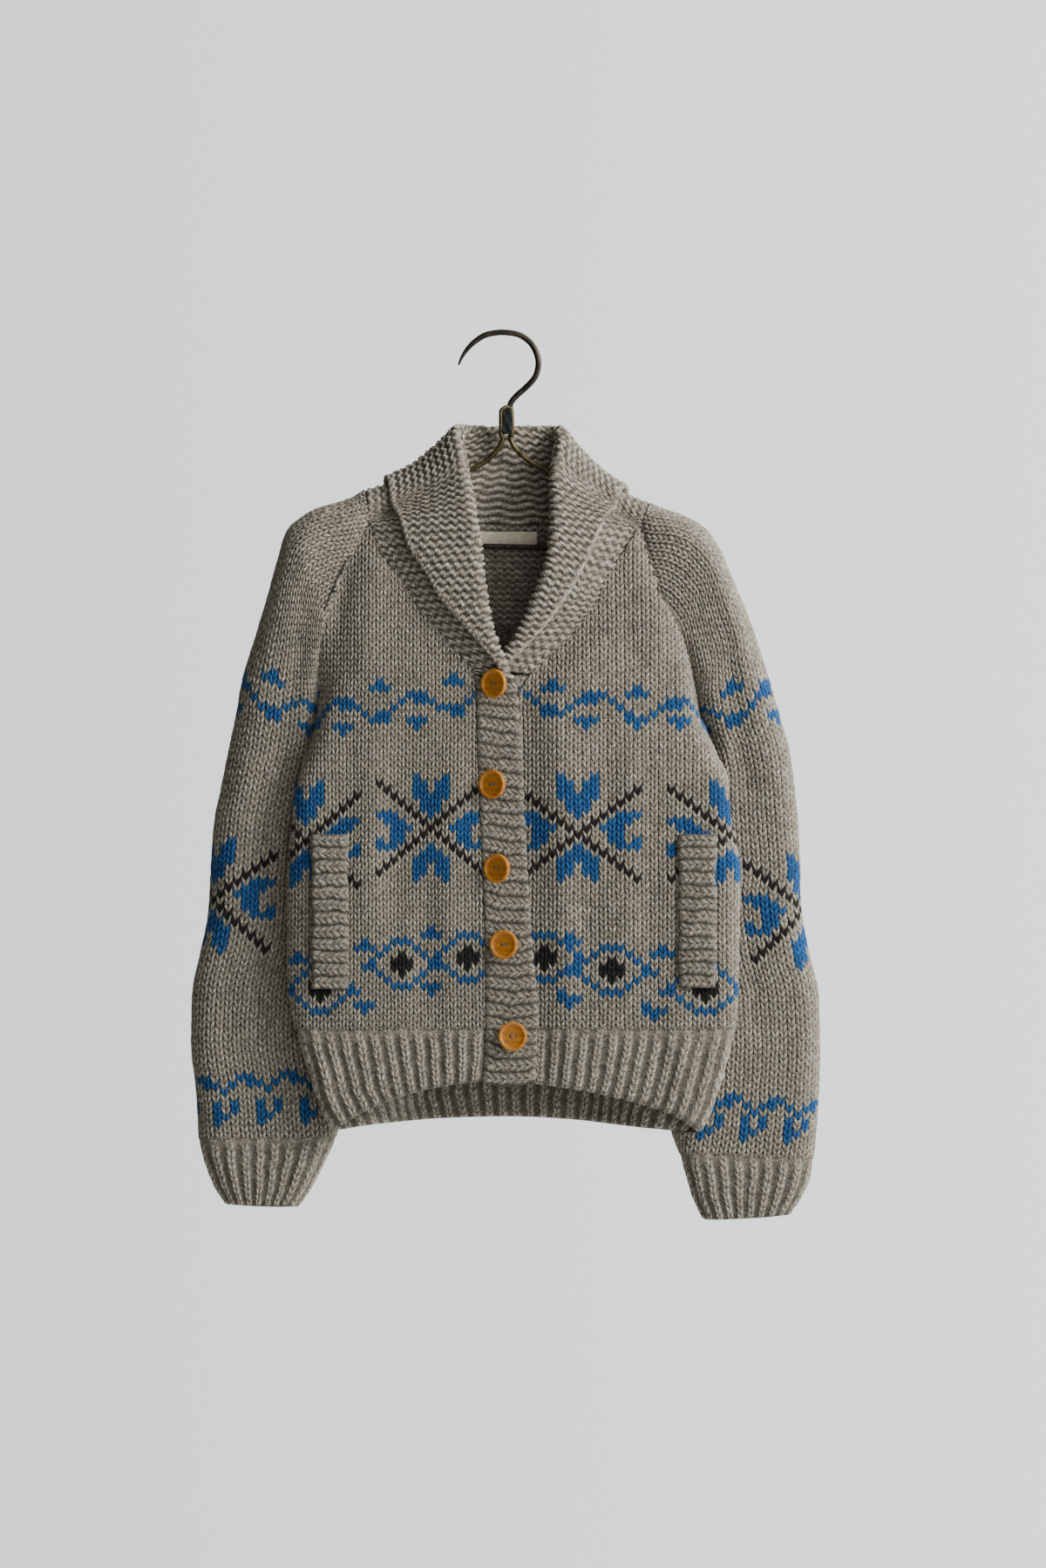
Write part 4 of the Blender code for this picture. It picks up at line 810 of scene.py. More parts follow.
def wool_material(name, shade):
    """Chunky heather wool, carded from light and dark fleece and loosely plied.

    Fibres of both colours lie side by side, so the yarn is mottled over a few millimetres. Its plies
    show as slanting ribs and its loose fibres as a soft nap that catches light along the edges.
    """
    sizes = bpy.context.scene.cardigan_settings
    mat, tree, shader = new_material(name)
    where = add_node(tree, "TexCoord")
    cloth = add_node(tree, "UVMap", {"uv_map": "cloth"})
    # fibres a few millimetres long, coarser than the real ones so that they show
    fibre = add_node(tree, "TexNoise", {"Scale": 520.0, "Detail": 3.0, "Roughness": 0.65},
                     {"Vector": where.outputs["Object"]})
    # tufts of lighter and darker fleece, about 6 mm
    tuft = add_node(tree, "TexNoise", {"Scale": 150.0, "Detail": 2.0}, {"Vector": where.outputs["Object"]})
    # slow changes between skeins and rows, about 60 mm
    skein = add_node(tree, "TexNoise", {"Scale": 16.0, "Detail": 2.0}, {"Vector": where.outputs["Object"]})
    fleece = add_node(tree, "Mix", {"data_type": "FLOAT", "Factor": 0.22},
                      {2: fibre.outputs["Fac"], 3: tuft.outputs["Fac"]})
    heather = add_node(tree, "ValToRGB", links={"Fac": fleece.outputs[0]})
    ramp(heather, [(0.36, sizes.wool_dark_hex), (0.5, sizes.wool_hex), (0.66, sizes.wool_light_hex)])
    blue = add_node(tree, "ValToRGB", links={"Fac": fleece.outputs[0]})
    ramp(blue, [(0.34, "#113862"), (0.5, sizes.blue_hex), (0.68, "#265f97")])
    black = add_node(tree, "ValToRGB", links={"Fac": fleece.outputs[0]})
    ramp(black, [(0.36, "#0c0d0e"), (0.52, sizes.black_hex), (0.68, "#2a2a2c")])
    yarn = add_node(tree, "Attribute", {"attribute_name": "yarn"})
    split = add_node(tree, "SeparateColor", links={"Color": yarn.outputs["Color"]})
    with_blue = add_node(tree, "Mix", {"data_type": "RGBA"},
                         {0: split.outputs["Red"], 6: heather.outputs["Color"], 7: blue.outputs["Color"]})
    with_black = add_node(tree, "Mix", {"data_type": "RGBA"},
                          {0: split.outputs["Green"], 6: with_blue.outputs[2], 7: black.outputs["Color"]})
    # the skeins' change, then painted shade down in the gaps between stitches, from each point's depth in its
    # stitch
    depth = add_node(tree, "Attribute", {"attribute_name": "depth"})
    gap = add_node(tree, "MapRange",
                   {"From Min": -0.6, "From Max": 1.6, "To Min": 0.16, "To Max": 1.24, "clamp": False},
                   {"Value": depth.outputs["Fac"]})
    # shade scales this whole copy of the wool darker, as painted shade where it is below 1
    slow = add_node(tree, "MapRange",
                    {"From Min": 0.3, "From Max": 0.7, "To Min": 0.93 * shade, "To Max": 1.06 * shade},
                    {"Value": skein.outputs["Fac"]})
    light = add_node(tree, "Math", {"operation": "MULTIPLY"},
                     {0: gap.outputs[0], 1: slow.outputs[0]})
    shaded = add_node(tree, "VectorMath", {"operation": "SCALE"},
                      {"Vector": with_black.outputs[2], "Scale": light.outputs[0]})
    tree.links.new(shaded.outputs["Vector"], shader.inputs["Base Color"])
    # plies 2.2 mm apart, turned across the stitches
    slant = add_node(tree, "Mapping", {"Rotation": (0, 0, 0.6)}, {"Vector": cloth.outputs["UV"]})
    ply = add_node(tree, "TexWave", {"Scale": 140.0, "Distortion": 1.2, "Detail": 1.0, "Detail Scale": 2.0},
                   {"Vector": slant.outputs["Vector"]})
    nap = add_node(tree, "Mix", {"data_type": "FLOAT", "Factor": 0.6},
                   {2: ply.outputs["Fac"], 3: fibre.outputs["Fac"]})
    bump = add_node(tree, "Bump", {"Strength": 0.55, "Distance": 0.0009}, {"Height": nap.outputs[0]})
    tree.links.new(bump.outputs["Normal"], shader.inputs["Normal"])
    shader.inputs["Roughness"].default_value = 0.92
    shader.inputs["Sheen Weight"].default_value = 0.22
    shader.inputs["Sheen Roughness"].default_value = 0.55
    shader.inputs["Sheen Tint"].default_value = linear("#cfc6b6")
    shader.inputs["Specular IOR Level"].default_value = 0.2
    return mat


# Charts of the knitted-in motifs, one line a row: b is blue, k is black.
BUD = [".b.", "bbb"]
HEART = ["bbb", ".b."]
TILTED_HEART = ["b..", "bbb", ".b."]
LEAF_UP = ["b...b", "bb.bb", "bb.bb", "bbbbb", ".bbb.", ".bbb.", "..b.."]
LEAF_DOWN = ["..b..", ".bbb.", "bbbbb", "bb.bb", "bb.bb", "b...b"]
LEAF_SIDE = ["..bbb", ".bbb.", "bbb..", ".bb..", ".bb.b", "..bbb"]
EYE = [
    "....bbb....", "...b...b...", "..b..k..b..", ".b..kkk..b.", "bb..kkk..bb", "..b..k..b..",
    "...b...b...", "....bbb...."]
DROP = ["b.b", "b.b", ".bb", "..b"]
VINE = [3, 3, 2, 1, 0, 0, 0, 1, 2, 3]
ARCS = [2, 1, 0, 0, 1]
BLUE, BLACK = 1, 2


class Chart:
    """Yarn colours of a field of stitches, filled with motifs by column and row number."""

    def __init__(self, columns, rows, first_column=0, first_row=0):
        self.cells = np.zeros((rows, columns), int)
        self.first = (first_row, first_column)

    def stitch(self, column, row, colour):
        i, j = int(round(row)) - self.first[0], int(round(column)) - self.first[1]
        if 0 <= i < self.cells.shape[0] and 0 <= j < self.cells.shape[1]:
            self.cells[i, j] = colour

    def motif(self, chart, column, row, mirrored=False):
        """Puts a motif with its middle at a column and row."""
        for i, line in enumerate(chart):
            line = line[::-1] if mirrored else line
            for j, mark in enumerate(line):
                if mark != ".":
                    self.stitch(column + j - (len(line) - 1) / 2, row + i - (len(chart) - 1) / 2,
                                BLUE if mark == "b" else BLACK)

    def wave(self, repeat, column, row, slope=0.0):
        """A line of blue stitches that repeats from a column on, its rows counted down from a crest."""
        for k in range(self.cells.shape[1]):
            here = self.first[1] + k
            away = here - int(round(column))
            down = repeat[away % len(repeat)]
            self.stitch(here, row + slope * away + down, BLUE)
            if down == repeat[(away + 1) % len(repeat)]:
                self.stitch(here, row + slope * away + down + 1, BLUE)

    def colours(self, columns, rows):
        """Red for blue yarn and green for black, for arrays of column and row numbers."""
        i = np.clip(rows - self.first[0], 0, self.cells.shape[0] - 1)
        j = np.clip(columns - self.first[1], 0, self.cells.shape[1] - 1)
        value = self.cells[i, j]
        return np.stack([value == BLUE, value == BLACK, np.zeros(value.shape)], axis=-1).astype(float)


# Places of the motifs on each front, in pixels of the view from the front.
FRONT_MOTIFS = {
    RIGHT: {
        "bud": [(436, 788), (520, 781), (357, 795), (416, 1087), (498, 1071), (343, 1100)],
        "heart": [(398, 835), (479, 827), (419, 1157), (497, 1135)],
        "cross": [(495, 951), (352, 962)],
        "eye": [(458, 1110), (534, 1099), (370, 1136)],
        "vine": [(520, 815), (440, 821)]},
    LEFT: {
        "bud": [(634, 784), (733, 789), (654, 1076), (757, 1088)],
        "heart": [(675, 827), (777, 831)],
        "tilted": [(653, 1145), (755, 1158)],
        "cross": [(661, 955), (836, 960)],
        "eye": [(624, 1100), (704, 1116), (805, 1135)],
        "vine": [(630, 815), (728, 822)]},
}
# A place of each band on each sleeve, in pixels too.
SLEEVE_MOTIFS = {
    RIGHT: {"vine": (310, 790), "cross": (243, 1030), "arc": (303, 1237)},
    LEFT: {"vine": (843, 802), "cross": (922, 1045), "arc": (870, 1262)},
}
# Soft creases: pixels of both ends, half width and depth in mm, as uneven as the cloth hangs.
FRONT_CREASES = {
    RIGHT: [(402, 650, 372, 790, 11, -5.0), (436, 640, 420, 760, 15, 2.6), (474, 850, 462, 1010, 22, -1.8),
            (410, 1010, 398, 1160, 18, 1.8), (520, 880, 512, 1060, 12, 1.6)],
    LEFT: [(760, 640, 806, 780, 11, -5.0), (722, 610, 752, 740, 15, 2.8), (640, 860, 652, 1010, 20, 1.6),
           (716, 860, 724, 1000, 22, -2.0), (770, 990, 776, 1150, 16, 1.8), (690, 1060, 694, 1160, 14, -1.4)],
}
SLEEVE_CREASES = {
    RIGHT: [(352, 625, 330, 720, 8, 2.4), (346, 740, 322, 900, 9, -3.2), (290, 880, 268, 1010, 12, 2.0),
            (322, 1010, 300, 1180, 10, -2.6), (255, 1080, 262, 1210, 12, -1.8)],
    LEFT: [(822, 640, 846, 730, 8, 2.4), (838, 760, 856, 900, 9, -3.2), (896, 850, 908, 1000, 12, 2.0),
           (850, 1040, 872, 1190, 10, -2.4), (905, 1110, 900, 1220, 12, -1.8)],
}


def body_grids():
    """The fronts, back and sleeves with the solids' own rows, for what is sewn or laid on them."""
    parts = {}
    lower = [360, 376, 392, 412, 440, 490, 550, 600, HEM_TOP - SEAM]
    steps = {side: seam_steps(side) for side in (RIGHT, LEFT)}
    shares = np.sin(np.linspace(0, 1, 10) * np.pi / 2)
    half = np.array([0, 0.2, 0.36, 0.48, 0.58, 0.67, 0.76, 0.86, 0.95, 1])
    back_right = np.concatenate([SLEEVE[RIGHT].at("back_drop", steps[RIGHT]), lower])
    back_left = np.concatenate([SLEEVE[LEFT].at("back_drop", steps[LEFT]), lower])
    dips = np.concatenate([12 * (1 - eased(steps[RIGHT] / 8)), np.zeros(len(lower))])
    back = back_grid(back_right, back_left, dips, np.concatenate([-half[::-1], half[1:]]))
    back_n = outward(back)
    for side in (RIGHT, LEFT):
        tops = SLEEVE[side].at("front_drop", steps[side])
        tops[0] = tops[0] + FRONT_DIP
        front = front_grid(side, np.concatenate([tops, lower]), shares)
        front_n = outward(front)
        sleeve = np.array([sleeve_section(side, s, SLEEVE_HALF, SEAM) for s in steps[side]])
        sleeve[0] = sleeve[0] + (sleeve[1] - sleeve[0]) * 0.02
        sleeve_n = outward(sleeve, centre=(side * 210, -7, -400))
        top = len(steps[side])
        column = 0 if side == RIGHT else -1
        a, b = meet(front_n[1:top - 1, -1], sleeve_n[1:top - 1, 0])
        front_n[1:top - 1, -1], sleeve_n[1:top - 1, 0] = a, b
        a, b = meet(back_n[:top - 1, column], sleeve_n[:top - 1, -1])
        back_n[:top - 1, column], sleeve_n[:top - 1, -1] = a, b
        parts["front", side] = (front, front_n)
        parts["sleeve", side] = (sleeve, sleeve_n)
    parts["back"] = (back, back_n)
    return parts


def smoothed(grid, count, axis):
    """More rows or columns of a grid along a Catmull-Rom curve through its own."""
    grid = np.moveaxis(grid, axis, 0)
    n = len(grid)
    where = np.linspace(0, n - 1, count)
    i = np.minimum(where.astype(int), n - 2)
    t = (where - i)[:, None, None]
    p0 = grid[np.maximum(i - 1, 0)]
    p1 = grid[i]
    p2 = grid[i + 1]
    p3 = grid[np.minimum(i + 2, n - 1)]
    found = 0.5 * (2 * p1 + (p2 - p0) * t + (2 * p0 - 5 * p1 + 4 * p2 - p3) * t * t
                   + (3 * p1 - p0 - 3 * p2 + p3) * t ** 3)
    return np.moveaxis(found, 0, axis)


def creased(grid, normals, creases):
    """A grid with soft troughs and ridges: pixel places of both ends, half width and depth in mm."""
    x, drop = grid[..., 0], -grid[..., 2]
    depth = 0
    for px, py, qx, qy, width, high in creases:
        (x0, d0), (x1, d1) = seen(px, py), seen(qx, qy)
        along = ((x - x0) * (x1 - x0) + (drop - d0) * (d1 - d0)) / ((x1 - x0) ** 2 + (d1 - d0) ** 2)
        share = np.clip(along, 0, 1)
        away = np.hypot(x - x0 - share * (x1 - x0), drop - d0 - share * (d1 - d0))
        depth = depth + high * np.exp(-(away / width) ** 2) * (1 - 0.35 * np.cos(7 * share + high))
    facing_out = np.clip(-normals[..., 1] * 3, 0, 1)
    return grid + normals * (depth * facing_out)[..., None]


def meeting(grid, side, back=False):
    """A front or back whose raglan edge, its last column, is moved onto the sleeve's own edge."""
    sleeve = sleeve_cloth(side)
    rows = int(np.searchsorted(sleeve.stations, 8)) + 1
    seam = sleeve.data[:rows, -1 if back else 0, :3]
    drops = -seam[:, 2]
    edge = grid[:, -1]
    inside = np.linalg.norm(grid - edge[:, None], axis=2)
    share = 1 - eased(inside / 45)
    low = eased((drops.max() + 14 - -edge[:, 2]) / 14)
    for axis in (0, 1):
        target = np.interp(-edge[:, 2], drops, seam[:, axis])
        grid[..., axis] += ((target - edge[:, axis]) * low)[:, None] * share
    return grid


def front_cloth(side):
    top = float(SLEEVE[side].at("front_drop", 0)) + FRONT_DIP
    drops = np.linspace(top, HEM_TOP - SEAM, 92)
    grid = front_grid(side, drops, np.sin(np.linspace(0, 1, 60) * np.pi / 2))
    normals = outward(grid)
    grid = meeting(creased(grid, normals, FRONT_CREASES[side]), side)
    normals = outward(grid)
    columns = np.arange(grid.shape[1])
    middle = [np.interp(GRAIN_X[side], np.abs(row[:, 0]), columns) for row in grid]
    return Cloth(grid, normals, drops, middle)


def back_cloth():
    steps = np.linspace(0, 8, 34)
    lower = np.linspace(345, HEM_TOP - SEAM, 50)[1:]
    right = np.concatenate([SLEEVE[RIGHT].at("back_drop", steps), lower])
    left = np.concatenate([SLEEVE[LEFT].at("back_drop", steps), lower])
    dips = np.concatenate([12 * (1 - eased(steps / 8)), np.zeros(len(lower))])
    half = np.sin(np.linspace(0, 1, 34) * np.pi / 2)
    grid = back_grid(right, left, dips, np.concatenate([-half[::-1], half[1:]]))
    grid = meeting(grid, LEFT, back=True)
    grid = meeting(grid[:, ::-1], RIGHT, back=True)[:, ::-1]
    normals = outward(grid)
    return Cloth(grid, normals, -grid[:, 33, 2], [33] * len(grid))


def sleeve_cloth(side):
    stations = np.linspace(0, 20, 101)
    half = 22
    grid = np.array([sleeve_section(side, s, half, SEAM) for s in stations])
    grid[-1, :, 2] += SEAM
    top = int(np.searchsorted(stations, 8))
    normals = grid_normals(grid)
    around = list(range(2 * half)) + [0]
    normals[top:] = grid_normals(grid[top:, :-1], closed=True)[:, around]
    normals = outward(grid, normals, (side * 210, -7, -400))
    grid = creased(grid, normals, SLEEVE_CREASES[side])
    middle = (grid[:, 0] + grid[:, half]) / 2
    along = np.concatenate([[0], np.cumsum(np.linalg.norm(np.diff(middle, axis=0), axis=1))])
    cloth = Cloth(grid, normals, along, [half] * len(grid))
    cloth.stations = stations
    return cloth


def found_place(cloth, x, drop):
    """Where on the front of a sheet a place in the plane of the hanger lies, across and along."""
    s = np.arange(cloth.across.min(), cloth.across.max(), 2.0)
    t = np.arange(cloth.along[0], cloth.along[-1], 2.0)
    ss, tt = (a.ravel() for a in np.meshgrid(s, t))
    points, normals, _, _ = cloth.at(ss, tt)
    away = np.hypot(points[:, 0] - x, points[:, 2] + drop) + 1000 * (normals[:, 1] > 0)
    best = int(np.argmin(away))
    return ss[best], tt[best]


def seen(px, py):
    """A place in the plane of the hanger, in mm, from its pixel in the view from the front."""
    return (px - CROWN[0]) * PIXEL, (py - CROWN[1]) * PIXEL


def field(s_nodes, t_nodes, height):
    """Places, heights and map of a plain field of nodes, with heights from a function of both."""
    s, t = np.meshgrid(s_nodes, t_nodes)
    return s, t, height(s, t), np.stack([s, t], axis=2)


def plain_side(cloth, step_s, step_t):
    """The inner side: one face a stitch, with the purl side's small bumps left to the finish."""
    s_nodes = np.arange(cloth.across.min() - step_s, cloth.across.max() + step_s, step_s)
    t_nodes = np.arange(cloth.along[0] - step_t, cloth.along[-1] + step_t, step_t)
    return field(s_nodes, t_nodes, lambda s, t: 0 * s)


def stitched(cloth, stitch, pitch, row, seed, turned=False, chart=None, whole=None):
    """A field of stitches that covers a sheet, and the yarn colours of its faces.

    turned stitches run across the sheet, and whole is a whole number of them to fill its width, or its
    length where they are turned.
    """
    def over(low, high, size, more):
        return int(math.floor(low / size)) - 1, int(math.ceil(high / size)) + more

    across, along = (cloth.across.min(), cloth.across.max()), (cloth.along[0], cloth.along[-1])
    cells = (0, whole) if whole else over(*across, pitch, 1)
    rows = over(*(across if turned else along), row, 2)
    s, t, heights, uv = stitch_grid(stitch, pitch, row, cells, rows, turned, seed)
    if turned:
        t = t + along[0]
    paint = None
    if chart is not None:
        columns = cells[0] + np.arange(s.shape[1] - 1) // len(stitch["columns"])
        numbers = rows[0] + np.arange(s.shape[0] - 1) // len(stitch["rows"])
        cc, rr = np.meshgrid(columns, numbers)
        paint = chart.colours(cc, rr)
    return (s, t, heights, uv), paint


def said(piece, slot, *nodes):
    """Hides the solids of the nodes that a piece stands for and hangs the piece on the root; slot is not used.
    """
    if nodes:
        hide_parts(*nodes)
    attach(piece, "root")


def declared(piece, node, slot):
    """Hides the solid that a knitted piece stands for and hangs the piece on the root."""
    said(piece, slot, node)


def cell_finder(cloth, pitch, row):
    """A function that gives the column and row of the stitch at a pixel of the view."""
    def cell(px, py):
        s, t = found_place(cloth, *seen(px, py))
        return s / pitch - 0.5, t / row - 0.05
    return cell


def cross(chart, column, row, reach):
    """Two black diagonals with a leaf in each of their four angles."""
    for k in range(-7, 8):
        chart.stitch(column + k, row + k, BLACK)
        chart.stitch(column + k, row - k, BLACK)
    chart.motif(LEAF_UP, column, row - 5.5)
    chart.motif(LEAF_DOWN, column, row + 5)
    chart.motif(LEAF_SIDE, column + reach, row)
    chart.motif(LEAF_SIDE, column - reach, row, True)


def front_chart(side, cloth):
    """The bands of motifs on a front, by the places of their repeats."""
    chart = Chart(60, 110, -40, 20)
    cell = cell_finder(cloth, FRONT_STITCH[side], ROW)
    table = FRONT_MOTIFS[side]
    for kind, motif in (("bud", BUD), ("heart", HEART), ("tilted", TILTED_HEART)):
        for place in table.get(kind, []):
            chart.motif(motif, *cell(*place))
    for place in table["cross"]:
        cross(chart, *cell(*place), 5.2)
    for place in table["eye"]:
        chart.motif(EYE, *cell(*place), side == RIGHT)
    (c0, r0), (c1, r1) = (cell(*place) for place in table["vine"])
    chart.wave(VINE, c0, r0 - 3, (r1 - r0) / (c1 - c0))
    return chart


def back_chart():
    """The same bands of motifs carried on round the back, which the view doesn't show."""
    chart = Chart(80, 130, -40, 0)
    vine, crosses, eyes = 336 / ROW, 457 / ROW, 581 / ROW
    chart.wave(VINE, 0, vine)
    for k in range(-30, 31, 10):
        chart.motif(BUD, k, vine - 1.8)
        chart.motif(HEART, k + 5, vine + 4.5)
        chart.motif(EYE, k, eyes)
        chart.motif(BUD, k + 5, eyes - 5)
        chart.motif(HEART, k + 5, eyes + 4)
    for column in (-20, 0, 20):
        cross(chart, column, crosses, 5.2)
    return chart


def sleeve_chart(side, cloth):
    """The bands of motifs round a sleeve."""
    chart = Chart(60, 120, -30, -5)
    cell = cell_finder(cloth, SLEEVE_STITCH, SLEEVE_ROW)
    table = SLEEVE_MOTIFS[side]
    column, line = cell(*table["vine"])
    chart.wave(VINE, column, line)
    for k in range(-30, 31, 10):
        chart.motif(BUD, column + k, line - 1.8)
        chart.motif(HEART, column + k + 5, line + 4.5)
    column, line = cell(*table["cross"])
    for around in (-20, 0, 20):
        cross(chart, column + around, line, 5)
    column, line = cell(*table["arc"])
    chart.wave(ARCS, column, line)
    for k in range(-25, 26, 5):
        chart.motif(DROP, column + k, line + 4.6, side == LEFT)
    return chart


class CardiganSettings(bpy.types.PropertyGroup):
    cloth_wall: bpy.props.FloatProperty(
        name="Cloth", description="Thickness of the knitted cloth under its stitches",
        default=CLOTH_WALL * MM,
        unit="LENGTH")
    collar_wall: bpy.props.FloatProperty(
        name="Collar", description="Thickness of the garter stitch of the collar",
        default=0.0039, unit="LENGTH")
    label_wall: bpy.props.FloatProperty(
        name="Label", description="Thickness of the woven label", default=0.0008, unit="LENGTH")
    floor_size: bpy.props.FloatProperty(
        name="Floor", description="Side of the square floor of the stage", default=4.4, unit="LENGTH")
    wool_hex: bpy.props.StringProperty(
        name="Wool", description="Middle tone of the heather wool, as a hex colour", default="#8f877a")
    wool_light_hex: bpy.props.StringProperty(
        name="Wool, light", description="Light fleece in the heather wool, as a hex colour",
        default="#bdb3a3")
    wool_dark_hex: bpy.props.StringProperty(
        name="Wool, dark", description="Dark fleece in the heather wool, as a hex colour", default="#5f584e")
    blue_hex: bpy.props.StringProperty(
        name="Blue yarn", description="Blue of the knitted-in bands, as a hex colour", default="#1c5189")
    black_hex: bpy.props.StringProperty(
        name="Black yarn", description="Black of the knitted-in crosses, as a hex colour", default="#19191b")
    wood_hex: bpy.props.StringProperty(
        name="Buttons", description="Middle tone of the buttons' wood, as a hex colour", default="#b9731f")


def finish(name, shade=1.0):
    """The material of that name, made once."""
    return bpy.data.materials.get(name) or wool_material(name, shade)


class CARDIGAN_OT_fronts(bpy.types.Operator):
    """Knits the two fronts with their bands of motifs"""
    bl_idname = "cardigan.fronts"
    bl_label = "Fronts"

    def execute(self, context):
        for side in (RIGHT, LEFT):
            cloth = front_cloth(side)
            outer, paint = stitched(cloth, KNIT, FRONT_STITCH[side], ROW, 3 + side,
                                    chart=front_chart(side, cloth))
            node = "front_" + SIDES[side]
            piece = knit_piece("knit_" + node, cloth, outer, plain_side(cloth, FRONT_STITCH[side], ROW),
                               finish("heather wool, stocking stitch"), paint=paint)
            declared(piece, node, "wool")
        return {"FINISHED"}


class CARDIGAN_OT_back(bpy.types.Operator):
    """Knits the back, with purl bumps where its inside shows at the neck"""
    bl_idname = "cardigan.back"
    bl_label = "Back"

    def execute(self, context):
        cloth = back_cloth()
        outer, paint = stitched(cloth, BACK_KNIT, BACK_STITCH, ROW, 11, chart=back_chart())
        fine = np.arange(cloth.along[0], 270, 1.45)
        coarse = np.arange(270, cloth.along[-1] + ROW, ROW)
        middle = np.arange(-120, 120, 1.95)
        sides = np.arange(BACK_STITCH, cloth.across.max() - 112, BACK_STITCH)
        s_nodes = np.concatenate([-120 - sides[::-1], middle, 120 + sides])

        def height(s, t):
            fade = np.clip((272 - t) / 8, 0, 1) * np.clip((122 - np.abs(s)) / 8, 0, 1)
            return 0.9 * fade * garter(s / BACK_STITCH, t / ROW) * 0.8

        piece = knit_piece("knit_back", cloth, outer, field(s_nodes, np.concatenate([fine, coarse]), height),
                           finish("heather wool, stocking stitch"), paint=paint)
        declared(piece, "back", "wool")
        return {"FINISHED"}


class CARDIGAN_OT_sleeves(bpy.types.Operator):
    """Knits the two sleeves with their bands of motifs"""
    bl_idname = "cardigan.sleeves"
    bl_label = "Sleeves"

    def execute(self, context):
        for side in (RIGHT, LEFT):
            cloth = sleeve_cloth(side)
            outer, paint = stitched(cloth, KNIT, SLEEVE_STITCH, SLEEVE_ROW, 21 + side,
                                    chart=sleeve_chart(side, cloth))
            node = "sleeve_" + SIDES[side]
            piece = knit_piece("knit_" + node, cloth, outer, plain_side(cloth, SLEEVE_STITCH, SLEEVE_ROW),
                               finish("heather wool, stocking stitch"), paint=paint)
            declared(piece, node, "wool")
        return {"FINISHED"}


class CARDIGAN_OT_ribs(bpy.types.Operator):
    """Knits the ribbed hem and cuffs"""
    bl_idname = "cardigan.ribs"
    bl_label = "Hem and cuffs"

    def execute(self, context):
        for side in (RIGHT, LEFT):
            shares = np.linspace(0, 1, 160)
            bottom = HEM_FRONT[side].at("drop", shares)
            levels = np.linspace(0, 1, 18)
            drops = np.stack([HEM_TOP + SEAM + (bottom - HEM_TOP - SEAM) * k for k in levels])
            grid = front_grid(side, drops, shares)
            grid = np.array([resampled(row, 150) for row in grid])
            self.rib("hem_front_" + SIDES[side], grid, outward(grid), 31 + side)
        shares = np.linspace(-1, 1, 321)
        bottom = HEM_BACK.at("drop", shares)
        rows = []
        for k in np.linspace(0, 1, 18):
            drops = HEM_TOP + SEAM + (bottom - HEM_TOP - SEAM) * k
            rows.append([back_point(RIGHT if s < 0 else LEFT, s, d, d, d, 0) for s, d in zip(shares, drops)])
        grid = np.array([resampled(np.array(row), 300) for row in rows])
        self.rib("hem_back", grid, outward(grid), 37)
        for side in (RIGHT, LEFT):
            rows = []
            for step in np.linspace(20, 23, 14):
                section = sleeve_section(side, step, 24, SEAM)
                if step == 20:
                    section[:, 2] -= SEAM
                rows.append(resampled(section, 121))
            grid = np.array(rows)
            normals = grid_normals(grid[:, :-1], closed=True)[:, list(range(120)) + [0]]
            normals = outward(grid, normals, (side * 215, -8, -780))
            self.rib("cuff_" + SIDES[side], grid, normals, 41 + side)
        return {"FINISHED"}

    def rib(self, node, grid, normals, seed):
        cloth = Cloth(grid, normals)
        whole = CUFF_RIBS if "cuff" in node else int(round(cloth.mean_width / RIB_PITCH))
        pitch = cloth.mean_width / whole
        (s, t, heights, uv), _ = stitched(cloth, RIB, pitch, RIB_ROW, seed, whole=whole)
        # the ribs rise slowly out of the plain knit above them
        risen = 0.35 + 0.65 * eased(t / 15)
        outer = (s, t, 0.45 + (heights - 0.45) * risen, uv)
        inner = plain_side(cloth, pitch / 2, RIB_ROW)
        if node == "hem_back":
            inner, _ = stitched(cloth, RIB, pitch, RIB_ROW, seed + 1, whole=whole)
        sides = 0 if "cuff" in node else 2.0
        piece = knit_piece("knit_" + node, cloth, outer, inner, finish("heather wool, one-by-one rib"),
                           (sides, sides, 0, 3))
        declared(piece, node, "wool_rib")


